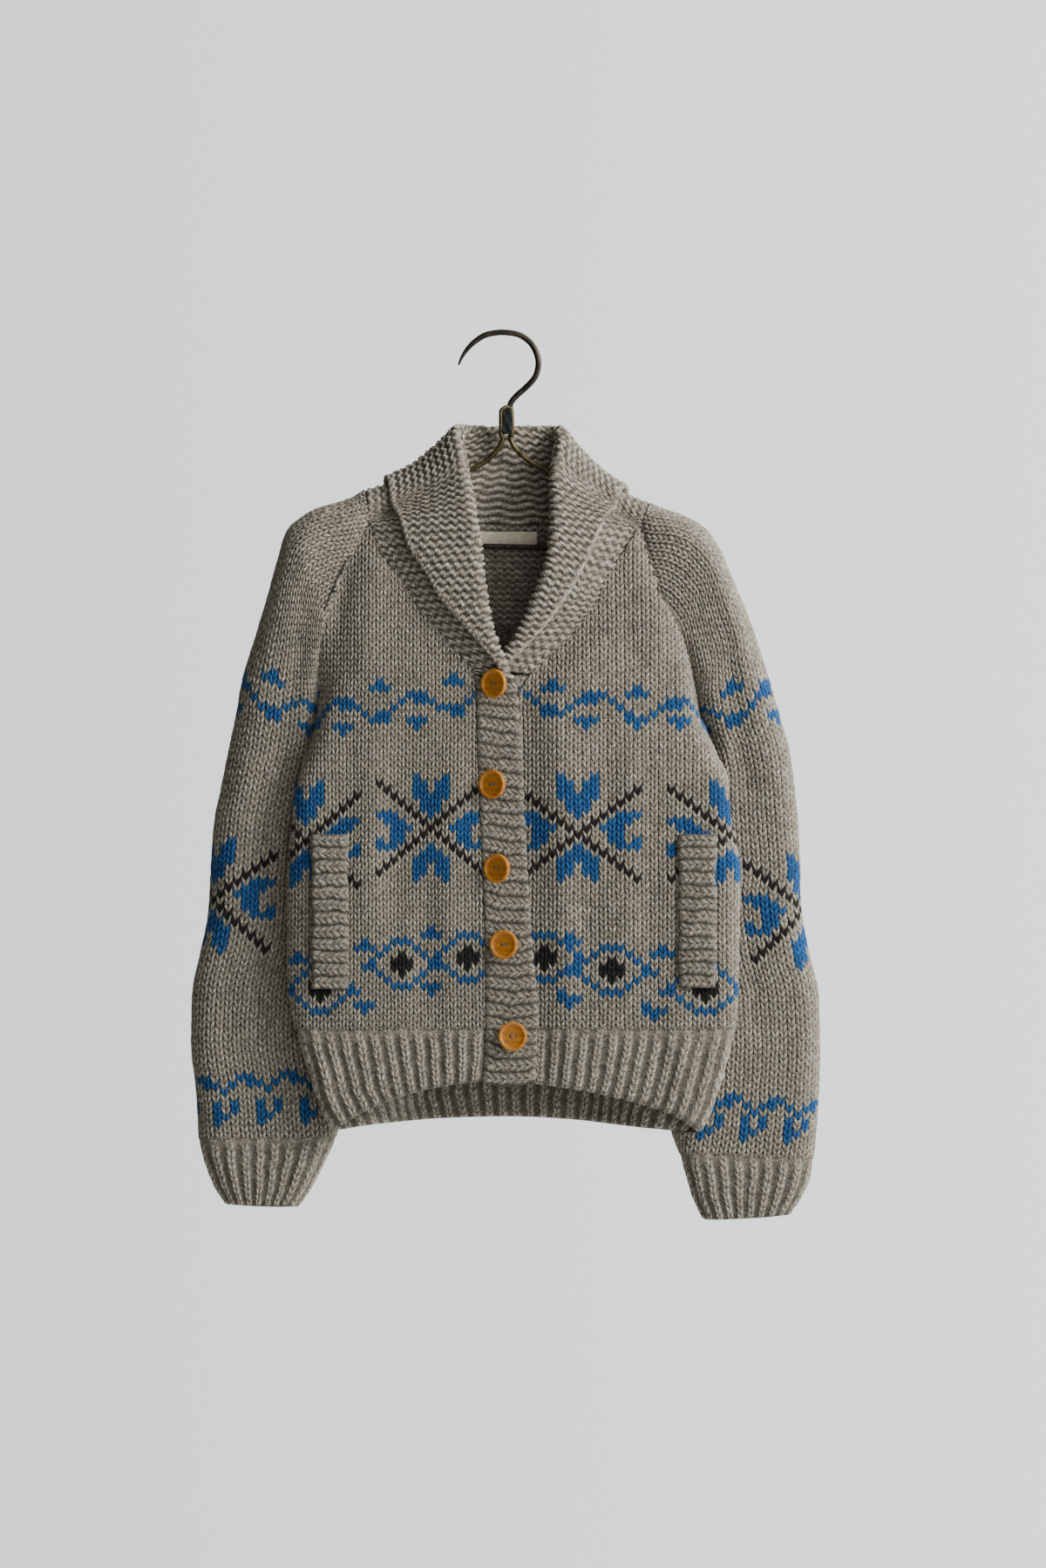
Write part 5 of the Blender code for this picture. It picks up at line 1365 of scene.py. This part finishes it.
class CARDIGAN_OT_collar(bpy.types.Operator):
    """Knits the folded shawl collar in garter stitch, both sides raised"""
    bl_idname = "cardigan.collar"
    bl_label = "Collar"

    def execute(self, context):
        grid, first = collar_grid(body_grids())
        grid = smoothed(smoothed(grid, 220, 0), 64, 1)
        normals = grid_normals(grid)
        if np.dot(normals[110, 4], first[len(first) // 2]) < 0:
            normals = -normals
        down = np.linalg.norm(np.diff(grid, axis=0), axis=2)
        cloth = Cloth(grid + normals * CLOTH_WALL / 2, normals,
                      np.concatenate([[0], np.cumsum(down[:, 40])]), [0] * len(grid))
        low, high = cloth.along[0], cloth.along[-1]

        def height(s, t):
            share = (t - low) / (high - low)
            behind = eased((0.5 - np.abs(share - 0.5) - 0.3) / 0.06)
            bend = 0.5 * np.sin(s / 17) + 0.4 * np.sin(t / 23)
            front = garter(s / GARTER_BUMP + 0.1 * bend, t / GARTER_RIDGE)
            back = garter(t / GARTER_BUMP + 0.1 * bend, s / GARTER_RIDGE)
            chain = 1.1 + 0.8 * np.cos(2 * np.pi * (t + 0.9 * s) / 8)
            rim = eased((s - np.interp(t, cloth.along, cloth.across[:, -1]) + 5.0) / 1.4)
            return (front * (1 - behind) + back * behind) * (1 - rim) + chain * rim

        # the side that shows on the fold has the finer mesh
        outer, inner = (
            field(np.arange(0, cloth.across.max() + step, step),
                  np.linspace(low, high, int((high - low) / step)), height) for step in (2.0, 1.45))
        piece = knit_piece("knit_collar", cloth, outer, inner, finish("heather wool, garter stitch"),
                           (0, 2.5, 0.6, 0.6), wall=context.scene.cardigan_settings.collar_wall)
        declared(piece, "collar", "wool_garter")
        return {"FINISHED"}


class CARDIGAN_OT_bands(bpy.types.Operator):
    """Knits the button band, the band under it and the pocket welts, ribbed across"""
    bl_idname = "cardigan.bands"
    bl_label = "Bands and pocket welts"

    def execute(self, context):
        rows = []
        for k in np.linspace(0, 1, 181):
            row = []
            bulge = -0.8 * math.cos(2 * math.pi * k * BAND_RIBS)
            for share in np.linspace(0, 1, 14):
                top, bottom = band_ends(share)
                drop = top + (bottom - top) * k
                left = -float(INNER[RIGHT].at("x", drop)) + 2 * SEAM
                x = left + (float(BAND_EDGE.at("x", drop)) + bulge - left) * share
                row.append((x, float(band_surface(drop, x)), -drop))
            rows.append(row)
        self.band("button_band", np.array(rows), BAND_RIBS, 51, (2, 3, 0, 3))
        rows = []
        for drop in np.linspace(COLLAR_END + 1, 684, 80):
            right = float(INNER[LEFT].at("x", drop)) - SEAM
            xs = np.linspace(-18, right, 12)
            rows.append([(x, float(band_surface(drop, x)) + LAP, -drop) for x in xs])
        self.band("under_band", np.array(rows), BAND_RIBS, 53, (3, 2, 0, 3))
        parts = body_grids()
        for side in (RIGHT, LEFT):
            near, far, top, bottom = WELTS[side]
            xs = np.linspace(near, far, 14)
            rows = [[(side * x, panel_y(parts["front", side][0], x, drop), -drop) for x in xs]
                    for drop in np.linspace(top, bottom, 60)]
            grid = np.array(rows)
            normals = outward(grid)
            lift = np.interp(np.linspace(0, 3, 14), (0, 1, 2, 3), (0.3, 0.3, 0.8, 2.2)) + REST
            puff = 2.4 * np.sin(np.linspace(0, np.pi, 14)) ** 0.7
            grid = grid + normals * (lift + puff + WALL)[None, :, None]
            drops = -grid[:, 0, 2]
            grid[:, :, 0] += 0.9 * np.sin(drops / 7.5 + side)[:, None] * np.linspace(-1, 1, 14)
            count = int(round((bottom - top) / WELT_RIB))
            self.band("pocket_welt_" + SIDES[side], grid, count, 55 + side, (2, 3, 2, 2))
        return {"FINISHED"}

    def band(self, node, grid, count, seed, rounds):
        cloth = Cloth(grid, outward(grid))
        pitch = cloth.along[-1] / count
        outer, _ = stitched(cloth, BAND, pitch, BAND_ROW, seed, turned=True, whole=count)
        # painted shade: the bands and welts take a copy of the wool darkened to 0.66 of its tone
        piece = knit_piece("knit_" + node, cloth, outer, plain_side(cloth, BAND_ROW, pitch / 2),
                           finish("heather wool, ribbed across, painted shade", 0.66), rounds)
        declared(piece, node, "wool_rib" if "welt" in node else "wool_garter")


def edit(selector):
    """Selects in edit mode the faces of the active mesh whose middle and normal the selector takes."""
    mesh = bpy.context.object.data
    bpy.ops.object.mode_set(mode="OBJECT")
    for face in mesh.polygons:
        face.select = bool(selector(face.center, face.normal))
    for edge in mesh.edges:
        edge.select = False
    for vertex in mesh.vertices:
        vertex.select = False
    for face in mesh.polygons:
        if face.select:
            for v in face.vertices:
                mesh.vertices[v].select = True
    bpy.ops.object.mode_set(mode="EDIT")
    bpy.ops.mesh.select_mode(type="FACE")


def flat_map(mesh, name):
    """Gives a mesh a map of the places of its corners as seen from above."""
    layer = mesh.uv_layers.get(name) or mesh.uv_layers.new(name=name)
    for loop in mesh.loops:
        layer.data[loop.index].uv = mesh.vertices[loop.vertex_index].co.xy


def applied(obj, kind, **settings):
    """Adds a modifier, sets it and applies it."""
    modifier = obj.modifiers.new(kind.lower(), kind)
    for key, value in settings.items():
        setattr(modifier, key, value)
    bpy.context.view_layer.objects.active = obj
    bpy.ops.object.modifier_apply(modifier=modifier.name)


def wood_material():
    """Turned and waxed hardwood, dyed orange-brown.

    The lathe leaves fine rings about the middle, the grain runs across the disc in darker streaks, and the wax
    gives a soft shine. The rim is painted lighter than the dished middle, a painted highlight and shade.
    """
    mat, tree, shader = new_material("turned wood, waxed")
    where = add_node(tree, "UVMap", {"uv_map": "disc"})
    grain = add_node(tree, "Mapping", {"Scale": (30, 260, 1)}, {"Vector": where.outputs["UV"]})
    streak = add_node(tree, "TexNoise", {"Scale": 1.0, "Detail": 4.0, "Roughness": 0.6},
                      {"Vector": grain.outputs["Vector"]})
    rings = add_node(tree, "TexWave",
                     {"wave_type": "RINGS", "rings_direction": "SPHERICAL", "Scale": 95.0, "Distortion": 0.6},
                     {"Vector": where.outputs["UV"]})
    both = add_node(tree, "Mix", {"data_type": "FLOAT", "Factor": 0.1},
                    {2: streak.outputs["Fac"], 3: rings.outputs["Fac"]})
    tone = add_node(tree, "ValToRGB", links={"Fac": both.outputs[0]})
    ramp(tone, [(0.3, "#8e5418"), (0.5, bpy.context.scene.cardigan_settings.wood_hex), (0.72, "#c98430")])
    # painted highlight and shade: the rim is painted lighter than the dished middle, as if lit
    away = add_node(tree, "VectorMath", {"operation": "LENGTH"}, {0: where.outputs["UV"]})
    # the factor of the painted highlight on the rim and the painted shade in the dish
    worn = add_node(tree, "MapRange",
                    {"From Min": 0.0088, "From Max": 0.0112, "To Min": 0.9, "To Max": 1.08},
                    {"Value": away.outputs["Value"]})
    rim_lit_tone = add_node(tree, "VectorMath", {"operation": "SCALE"},
                      {"Vector": tone.outputs["Color"], "Scale": worn.outputs[0]})
    tree.links.new(rim_lit_tone.outputs["Vector"], shader.inputs["Base Color"])
    bump = add_node(tree, "Bump", {"Strength": 0.12, "Distance": 0.0003}, {"Height": rings.outputs["Fac"]})
    tree.links.new(bump.outputs["Normal"], shader.inputs["Normal"])
    shader.inputs["Roughness"].default_value = 0.42
    shader.inputs["Coat Weight"].default_value = 0.15
    shader.inputs["Coat Roughness"].default_value = 0.3
    return mat


class CARDIGAN_OT_buttons(bpy.types.Operator):
    """Turns one wooden button and sews five copies to the band"""
    bl_idname = "cardigan.buttons"
    bl_label = "Buttons"

    def execute(self, context):
        wood = wood_material()
        thread = finish("heather wool, one-by-one rib")
        for number, (x, drop, turn) in enumerate(BUTTONS, 1):
            node = "button_%d" % number
            place = self.place(x, drop, turn)
            disc = self.disc(wood)
            sewn = self.sewing(thread)
            for piece, name in ((disc, "turned_" + node), (sewn, "thread_" + node)):
                piece.name = name
                piece.data.name = name
                piece.data.transform(place)
                piece.data.update()
            said(disc, "button_wood", node)
            said(sewn, "wool")
        return {"FINISHED"}

    def place(self, x, drop, turn):
        """Where a button's back lies, and which way it looks."""
        face = float(band_surface(drop, x)) - RIB_HEIGHT - REST
        stand = BUTTON_RADIUS * math.sin(math.radians(turn)) + 0.4
        move = Matrix.Translation(Vector((x, face - stand, -drop)) * MM)
        return move @ Matrix.Rotation(math.radians(-turn), 4, "Z") @ Matrix.Rotation(math.radians(90), 4, "X")

    def disc(self, wood):
        """A dished disc with a rounded rim and two holes, its back on the ground plane."""
        bpy.ops.object.select_all(action="DESELECT")
        radius, thick = BUTTON_RADIUS * MM, BUTTON_THICK * MM
        bpy.ops.mesh.primitive_cylinder_add(
            vertices=64, radius=radius, depth=thick, location=(0, 0, thick / 2))
        obj = bpy.context.object
        bpy.ops.object.transform_apply(location=True, rotation=True, scale=True)
        edit(lambda middle, normal: normal.z > 0.9)
        bpy.ops.mesh.inset(thickness=2.3 * MM, depth=0)
        bpy.ops.mesh.inset(thickness=1.1 * MM, depth=-1.1 * MM)
        bpy.ops.mesh.inset(thickness=4.0 * MM, depth=-0.25 * MM)
        bpy.ops.object.mode_set(mode="OBJECT")
        for offset in (-2.3, 2.3):
            bpy.ops.object.select_all(action="DESELECT")
            bpy.ops.mesh.primitive_cylinder_add(
                vertices=20, radius=1.15 * MM, depth=12 * MM, location=(offset * MM, 0, 2 * MM))
            drill = bpy.context.object
            applied(obj, "BOOLEAN", operation="DIFFERENCE", object=drill, solver="EXACT")
            bpy.data.objects.remove(drill, do_unlink=True)
        applied(obj, "BEVEL", width=0.55 * MM, segments=3, limit_method="ANGLE", angle_limit=math.radians(35))
        bpy.ops.object.select_all(action="DESELECT")
        obj.select_set(True)
        bpy.context.view_layer.objects.active = obj
        bpy.ops.object.shade_smooth_by_angle(angle=math.radians(40))
        flat_map(obj.data, "disc")
        obj.data.materials.append(wood)
        return obj

    def sewing(self, thread):
        """Strands over the bar between the holes, and the wound stem behind the button."""
        strands = []
        for y in (-0.55, 0.0, 0.55):
            bpy.ops.object.select_all(action="DESELECT")
            bpy.ops.mesh.primitive_uv_sphere_add(segments=12, ring_count=8, radius=0.5 * MM,
                                                 location=(0, y * MM, 2.9 * MM), scale=(5.6, 0.9, 1.5))
            bpy.ops.object.transform_apply(location=True, rotation=True, scale=True)
            strands.append(bpy.context.object)
        bpy.ops.mesh.primitive_cylinder_add(
            vertices=14, radius=2.0 * MM, depth=3.0 * MM, location=(0, 0, -1.5 * MM))
        stem = bpy.context.object
        bpy.ops.object.transform_apply(location=True, rotation=True, scale=True)
        edit(lambda middle, normal: abs(normal.z) < 0.5)
        bpy.ops.mesh.subdivide(number_cuts=3, smoothness=0.6)
        bpy.ops.object.mode_set(mode="OBJECT")
        bpy.ops.object.select_all(action="DESELECT")
        for obj in strands + [stem]:
            obj.select_set(True)
        bpy.context.view_layer.objects.active = stem
        bpy.ops.object.join()
        bpy.ops.object.shade_smooth()
        stem = bpy.context.object
        # a fixed stitch depth, so that the wool's painted gap shade darkens the thread evenly
        depth = stem.data.attributes.new("depth", "FLOAT", "POINT")
        depth.data.foreach_set("value", np.full(len(stem.data.vertices), 0.3))
        flat_map(stem.data, "cloth")
        stem.data.materials.append(thread)
        return stem


class CARDIGAN_OT_label(bpy.types.Operator):
    """Weaves the blank neck label"""
    bl_idname = "cardigan.label"
    bl_label = "Label"

    def execute(self, context):
        x0, x1, top, bottom = LABEL
        rows = []
        for drop in np.linspace(top, bottom, 8):
            row = []
            for x in np.linspace(x0, x1, 30):
                side = RIGHT if x < 0 else LEFT
                edge = float(BACK[side].at("edge_x", drop))
                point = back_point(side, x / edge, drop, drop, drop, 0)
                ripple = 0.25 * math.sin(x / 6.0) * math.sin((drop - top) / 4)
                row.append((x, point[1] - WALL - 1.5 + ripple, -drop))
            rows.append(row)
        grid = np.array(rows)
        down = np.linalg.norm(np.diff(grid[:, 0], axis=0), axis=1)
        cloth = Cloth(grid, outward(grid, centre=(0, 100, -187)), np.concatenate([[0], np.cumsum(down)]))
        flat = field(np.linspace(0, cloth.mean_width, 60), np.linspace(0, cloth.along[-1], 16),
                     lambda s, t: 0 * s)
        piece = knit_piece("woven_label", cloth, flat, flat, self.tape(), (0.4, 0.4, 0.4, 0.4),
                           wall=context.scene.cardigan_settings.label_wall)
        declared(piece, "label", "label_cotton")
        return {"FINISHED"}

    def tape(self):
        """Cream cotton tape in a fine plain weave with a closer selvedge along each long edge."""
        mat, tree, shader = new_material("cotton tape, woven")
        cloth = add_node(tree, "UVMap", {"uv_map": "cloth"})
        # threads 0.9 mm apart, coarser than the real ones so that they show
        warp = add_node(tree, "TexWave", {"Scale": 350.0, "bands_direction": "X"},
                        {"Vector": cloth.outputs["UV"]})
        weft = add_node(tree, "TexWave", {"Scale": 350.0, "bands_direction": "Y"},
                        {"Vector": cloth.outputs["UV"]})
        weave = add_node(tree, "Math", {"operation": "MAXIMUM"},
                         {0: warp.outputs["Fac"], 1: weft.outputs["Fac"]})
        dirt = add_node(tree, "TexNoise", {"Scale": 140.0, "Detail": 3.0}, {"Vector": cloth.outputs["UV"]})
        tone = add_node(tree, "ValToRGB", links={"Fac": dirt.outputs["Fac"]})
        ramp(tone, [(0.3, "#cdc0a6"), (0.7, "#e6dcc8")])
        # painted shade between the threads of the weave
        lit = add_node(tree, "MapRange", {"To Min": 0.85, "To Max": 1.0}, {"Value": weave.outputs[0]})
        shaded = add_node(tree, "VectorMath", {"operation": "SCALE"},
                          {"Vector": tone.outputs["Color"], "Scale": lit.outputs[0]})
        tree.links.new(shaded.outputs["Vector"], shader.inputs["Base Color"])
        bump = add_node(tree, "Bump", {"Strength": 0.3, "Distance": 0.0002}, {"Height": weave.outputs[0]})
        tree.links.new(bump.outputs["Normal"], shader.inputs["Normal"])
        shader.inputs["Roughness"].default_value = 0.8
        return mat


def iron_material(name, dark, light, rough):
    """Drawn iron wire, lacquered long ago and handled since.

    The lacquer is a dark bronze-brown that has worn to a dull shine, and rust and grime leave it uneven.
    """
    mat, tree, shader = new_material(name)
    where = add_node(tree, "TexCoord")
    wear = add_node(tree, "TexNoise", {"Scale": 130.0, "Detail": 5.0, "Roughness": 0.6},
                    {"Vector": where.outputs["Object"]})
    grime = add_node(tree, "TexNoise", {"Scale": 700.0, "Detail": 2.0}, {"Vector": where.outputs["Object"]})
    both = add_node(tree, "Mix", {"data_type": "FLOAT", "Factor": 0.35},
                    {2: wear.outputs["Fac"], 3: grime.outputs["Fac"]})
    tone = add_node(tree, "ValToRGB", links={"Fac": both.outputs[0]})
    ramp(tone, [(0.35, dark), (0.65, light)])
    tree.links.new(tone.outputs["Color"], shader.inputs["Base Color"])
    dull = add_node(tree, "MapRange", {"To Min": rough - 0.1, "To Max": rough + 0.2},
                    {"Value": both.outputs[0]})
    tree.links.new(dull.outputs[0], shader.inputs["Roughness"])
    bump = add_node(tree, "Bump", {"Strength": 0.35, "Distance": 0.0003}, {"Height": both.outputs[0]})
    tree.links.new(bump.outputs["Normal"], shader.inputs["Normal"])
    shader.inputs["Metallic"].default_value = 0.85
    return mat


class CARDIGAN_OT_hanger(bpy.types.Operator):
    """Bends the hanger's wire: hook, wrapped neck, arms and bar"""
    bl_idname = "cardigan.hanger"
    bl_label = "Hanger"

    def execute(self, context):
        dark = iron_material("lacquered iron wire", "#1d1a16", "#4a4238", 0.4)
        olive = iron_material("worn iron wire", "#2c271a", "#6b603f", 0.38)
        core = iron_material("wrapped iron core", "#121416", "#34383a", 0.6)
        self.wire("bent_hook", [(x, 0, d, r) for x, d, r in HOOK_PATH], dark, "hanger_hook")
        for side in SIDES:
            node = "hanger_arm_" + SIDES[side]
            self.wire("bent_" + node, [(x, 0, d, WIRE) for x, d in ARMS[side]], olive, node)
        self.wire("bent_bar", [(x, 0, d, WIRE) for x, d in BAR], dark, "hanger_bar")
        self.neck(core, olive)
        return {"FINISHED"}

    def wire(self, name, path, mat, node, sides=20):
        """A round wire through points (x, y, drop, radius), closed by rounded ends."""
        bpy.ops.object.select_all(action="DESELECT")
        points = smoothed(np.array(path, float)[None], 6 * len(path), 1)[0]
        along = np.gradient(points[:, :3] * (1, 1, -1), axis=0)
        along = along / np.linalg.norm(along, axis=1, keepdims=True)
        bpy.ops.curve.primitive_nurbs_path_add(location=(0, 0, 0))
        curve = bpy.context.object
        curve.data.splines.clear()
        spline = curve.data.splines.new("POLY")
        middle = points * (MM, MM, -MM, 1)
        first, last = middle[0].copy(), middle[-1].copy()
        first[:3] -= along[0] * points[0, 3] * 0.5 * MM
        last[:3] += along[-1] * points[-1, 3] * 0.5 * MM
        first[3], last[3] = points[0, 3] * 0.6, points[-1, 3] * 0.6
        middle = np.vstack([first, middle, last])
        spline.points.add(len(middle) - 1)
        for point, (x, y, z, radius) in zip(spline.points, middle):
            point.co = (x, y, z, 1)
            point.radius = radius
        curve.data.dimensions = "3D"
        curve.data.bevel_depth = MM
        curve.data.bevel_resolution = (sides - 4) // 4
        curve.data.use_fill_caps = True
        bpy.ops.object.convert(target="MESH")
        obj = bpy.context.object
        bpy.ops.object.shade_smooth()
        obj.name = name
        obj.data.materials.clear()
        obj.data.materials.append(mat)
        said(obj, "hanger_iron", node)

    def neck(self, core, olive):
        """The crimped core between the two wires, which the left one closes over the top."""
        x0, x1, top, bottom, deep = FERRULE
        bpy.ops.object.select_all(action="DESELECT")
        bpy.ops.mesh.primitive_cube_add(size=1, location=((x0 + x1) / 2 * MM, 0, -(top + bottom) / 2 * MM),
                                        scale=((x1 - x0 - 3.4) * MM, deep * 0.8 * MM, (bottom - top - 2) * MM))
        obj = bpy.context.object
        bpy.ops.object.transform_apply(location=True, rotation=True, scale=True)
        applied(obj, "BEVEL", width=2.0 * MM, segments=4)
        bpy.ops.object.mode_set(mode="EDIT")
        bpy.ops.mesh.select_all(action="SELECT")
        bpy.ops.mesh.subdivide(number_cuts=7)
        bpy.ops.object.mode_set(mode="OBJECT")
        # turns of the wrapping about 2 mm apart, slightly slanting and uneven
        points = np.empty(len(obj.data.vertices) * 3)
        obj.data.vertices.foreach_get("co", points)
        points = points.reshape(-1, 3)
        normals = np.array([v.normal for v in obj.data.vertices])
        phase = (points[:, 2] / MM + 0.25 * points[:, 0] / MM) * 2 * np.pi / 2.1
        swell = 0.32 * np.sin(phase + 0.8 * np.sin(points[:, 2] / MM * 0.7)) * np.abs(normals[:, 1]) ** 0.5
        points = points + normals * swell[:, None] * MM
        obj.data.vertices.foreach_set("co", points.ravel())
        obj.data.update()
        obj.data.materials.append(core)
        bpy.ops.object.shade_smooth()
        obj.name = "wrapped_neck"
        said(obj, "hanger_iron", "hanger_ferrule")
        left = [(x0 + 1.8, -1, bottom + 1.5, 2.0), (x0 + 1.5, -1.6, bottom - 4, 1.9), (x0 + 1.4, -2, 78, 1.9),
                (x0 + 1.6, -2, top + 3.4, 1.9), (x0 + 4.2, -1.8, top + 0.6, 1.9), (-0.4, -1.2, top - 0.8, 1.9),
                (x1 - 2.6, -0.6, top + 0.4, 1.7)]
        right = [(x1 - 2.6, 0.4, top - 1, 2.0), (x1 - 1.6, -0.6, top + 4, 2.0), (x1 - 1.4, -1.6, 80, 2.0),
                 (x1 - 1.7, -1.2, bottom - 3, 2.0), (x1 - 2.2, -0.6, bottom + 1.5, 2.1)]
        for name, path in (("bent_wire_left", left), ("bent_wire_right", right)):
            self.wire(name, path, olive, "hanger_ferrule", 16)


class CARDIGAN_OT_stage(bpy.types.Operator):
    """Adds the floor, the soft light and the camera"""
    bl_idname = "cardigan.stage"
    bl_label = "Stage"

    def execute(self, context):
        bpy.ops.object.select_all(action="DESELECT")
        bpy.ops.mesh.primitive_plane_add(
            size=context.scene.cardigan_settings.floor_size, location=(0, 0, -1.75))
        floor = bpy.context.object
        floor.name = "floor"
        mat, tree, shader = new_material("pale painted floor")
        grain = add_node(tree, "TexNoise", {"Scale": 3.0, "Detail": 2.0})
        tone = add_node(tree, "ValToRGB", links={"Fac": grain.outputs["Fac"]})
        ramp(tone, [(0.3, "#d2d4d3"), (0.7, "#d9dbda")])
        tree.links.new(tone.outputs["Color"], shader.inputs["Base Color"])
        shader.inputs["Roughness"].default_value = 0.8
        floor.data.materials.append(mat)
        world = bpy.data.worlds.new("pale studio")
        world.use_nodes = True
        background = world.node_tree.nodes["Background"]
        # the room is brighter on the side of its window
        where = add_node(world.node_tree, "TexCoord")
        parts = add_node(world.node_tree, "SeparateXYZ", links={0: where.outputs["Generated"]})
        room = add_node(world.node_tree, "MapRange",
                        {"From Min": -0.5, "From Max": 1.0, "To Min": 0.0, "To Max": 3.0},
                        {"Value": parts.outputs["X"]})
        behind = add_node(world.node_tree, "MapRange",
                        {"From Min": 0.6, "From Max": 1.0, "To Min": 1.0, "To Max": 2.2},
                        {"Value": parts.outputs["Y"]})
        both = add_node(world.node_tree, "Math", {"operation": "MULTIPLY"},
                        {0: room.outputs[0], 1: behind.outputs[0]})
        world.node_tree.links.new(both.outputs[0], background.inputs["Strength"])
        background.inputs["Color"].default_value = linear("#d5d8d7")
        context.scene.world = world
        for name, place, size, power, colour in (
                ("key", (1.9, -1.2, 0.8), 0.9, 79, (1, 0.99, 0.97)),
                ("rim", (0.6, 2.2, 1.2), 1.6, 10, (1, 1, 1))):
            light = bpy.data.lights.new(name, "AREA")
            light.size = size
            light.energy = power
            light.color = colour
            lamp = bpy.data.objects.new(name, light)
            context.scene.collection.objects.link(lamp)
            lamp.location = place
            aim = Vector((0, 0, -0.42)) - Vector(place)
            lamp.rotation_euler = aim.to_track_quat("-Z", "Y").to_euler()
        lens = bpy.data.cameras.new("camera")
        camera = bpy.data.objects.new("camera", lens)
        context.scene.collection.objects.link(camera)
        distance, height = 9.0, VIEW[1] * PIXEL * MM
        lens.sensor_fit = "VERTICAL"
        lens.sensor_height = 24
        lens.lens = 24 * distance / height
        lens.clip_end = 50
        across, drop = seen(VIEW[0] / 2, VIEW[1] / 2)
        camera.location = (across * MM, -distance - 0.03, -drop * MM)
        camera.rotation_euler = (math.pi / 2, 0, 0)
        context.scene.camera = camera
        return {"FINISHED"}


class CARDIGAN_PT_panel(bpy.types.Panel):
    """Lists the cardigan's sizes, colours and pieces"""
    bl_idname = "CARDIGAN_PT_panel"
    bl_label = "Knitted cardigan"
    bl_space_type = "VIEW_3D"
    bl_region_type = "UI"
    bl_category = "Cardigan"

    def draw(self, context):
        for name in CardiganSettings.__annotations__:
            self.layout.prop(context.scene.cardigan_settings, name)
        for operator in OPERATORS:
            self.layout.operator(operator.bl_idname)


OPERATORS = (
    CARDIGAN_OT_fronts, CARDIGAN_OT_back, CARDIGAN_OT_sleeves, CARDIGAN_OT_ribs, CARDIGAN_OT_collar,
    CARDIGAN_OT_bands, CARDIGAN_OT_buttons, CARDIGAN_OT_label, CARDIGAN_OT_hanger, CARDIGAN_OT_stage)
CLASSES = (CardiganSettings,) + OPERATORS + (CARDIGAN_PT_panel,)


def register():
    for cls in CLASSES:
        bpy.utils.register_class(cls)
    bpy.types.Scene.cardigan_settings = bpy.props.PointerProperty(type=CardiganSettings)


def unregister():
    del bpy.types.Scene.cardigan_settings
    for cls in reversed(CLASSES):
        bpy.utils.unregister_class(cls)


def main():
    register()
    for operator in OPERATORS:
        group, name = operator.bl_idname.split(".")
        getattr(getattr(bpy.ops, group), name)()


if __name__ == "__main__":
    main()
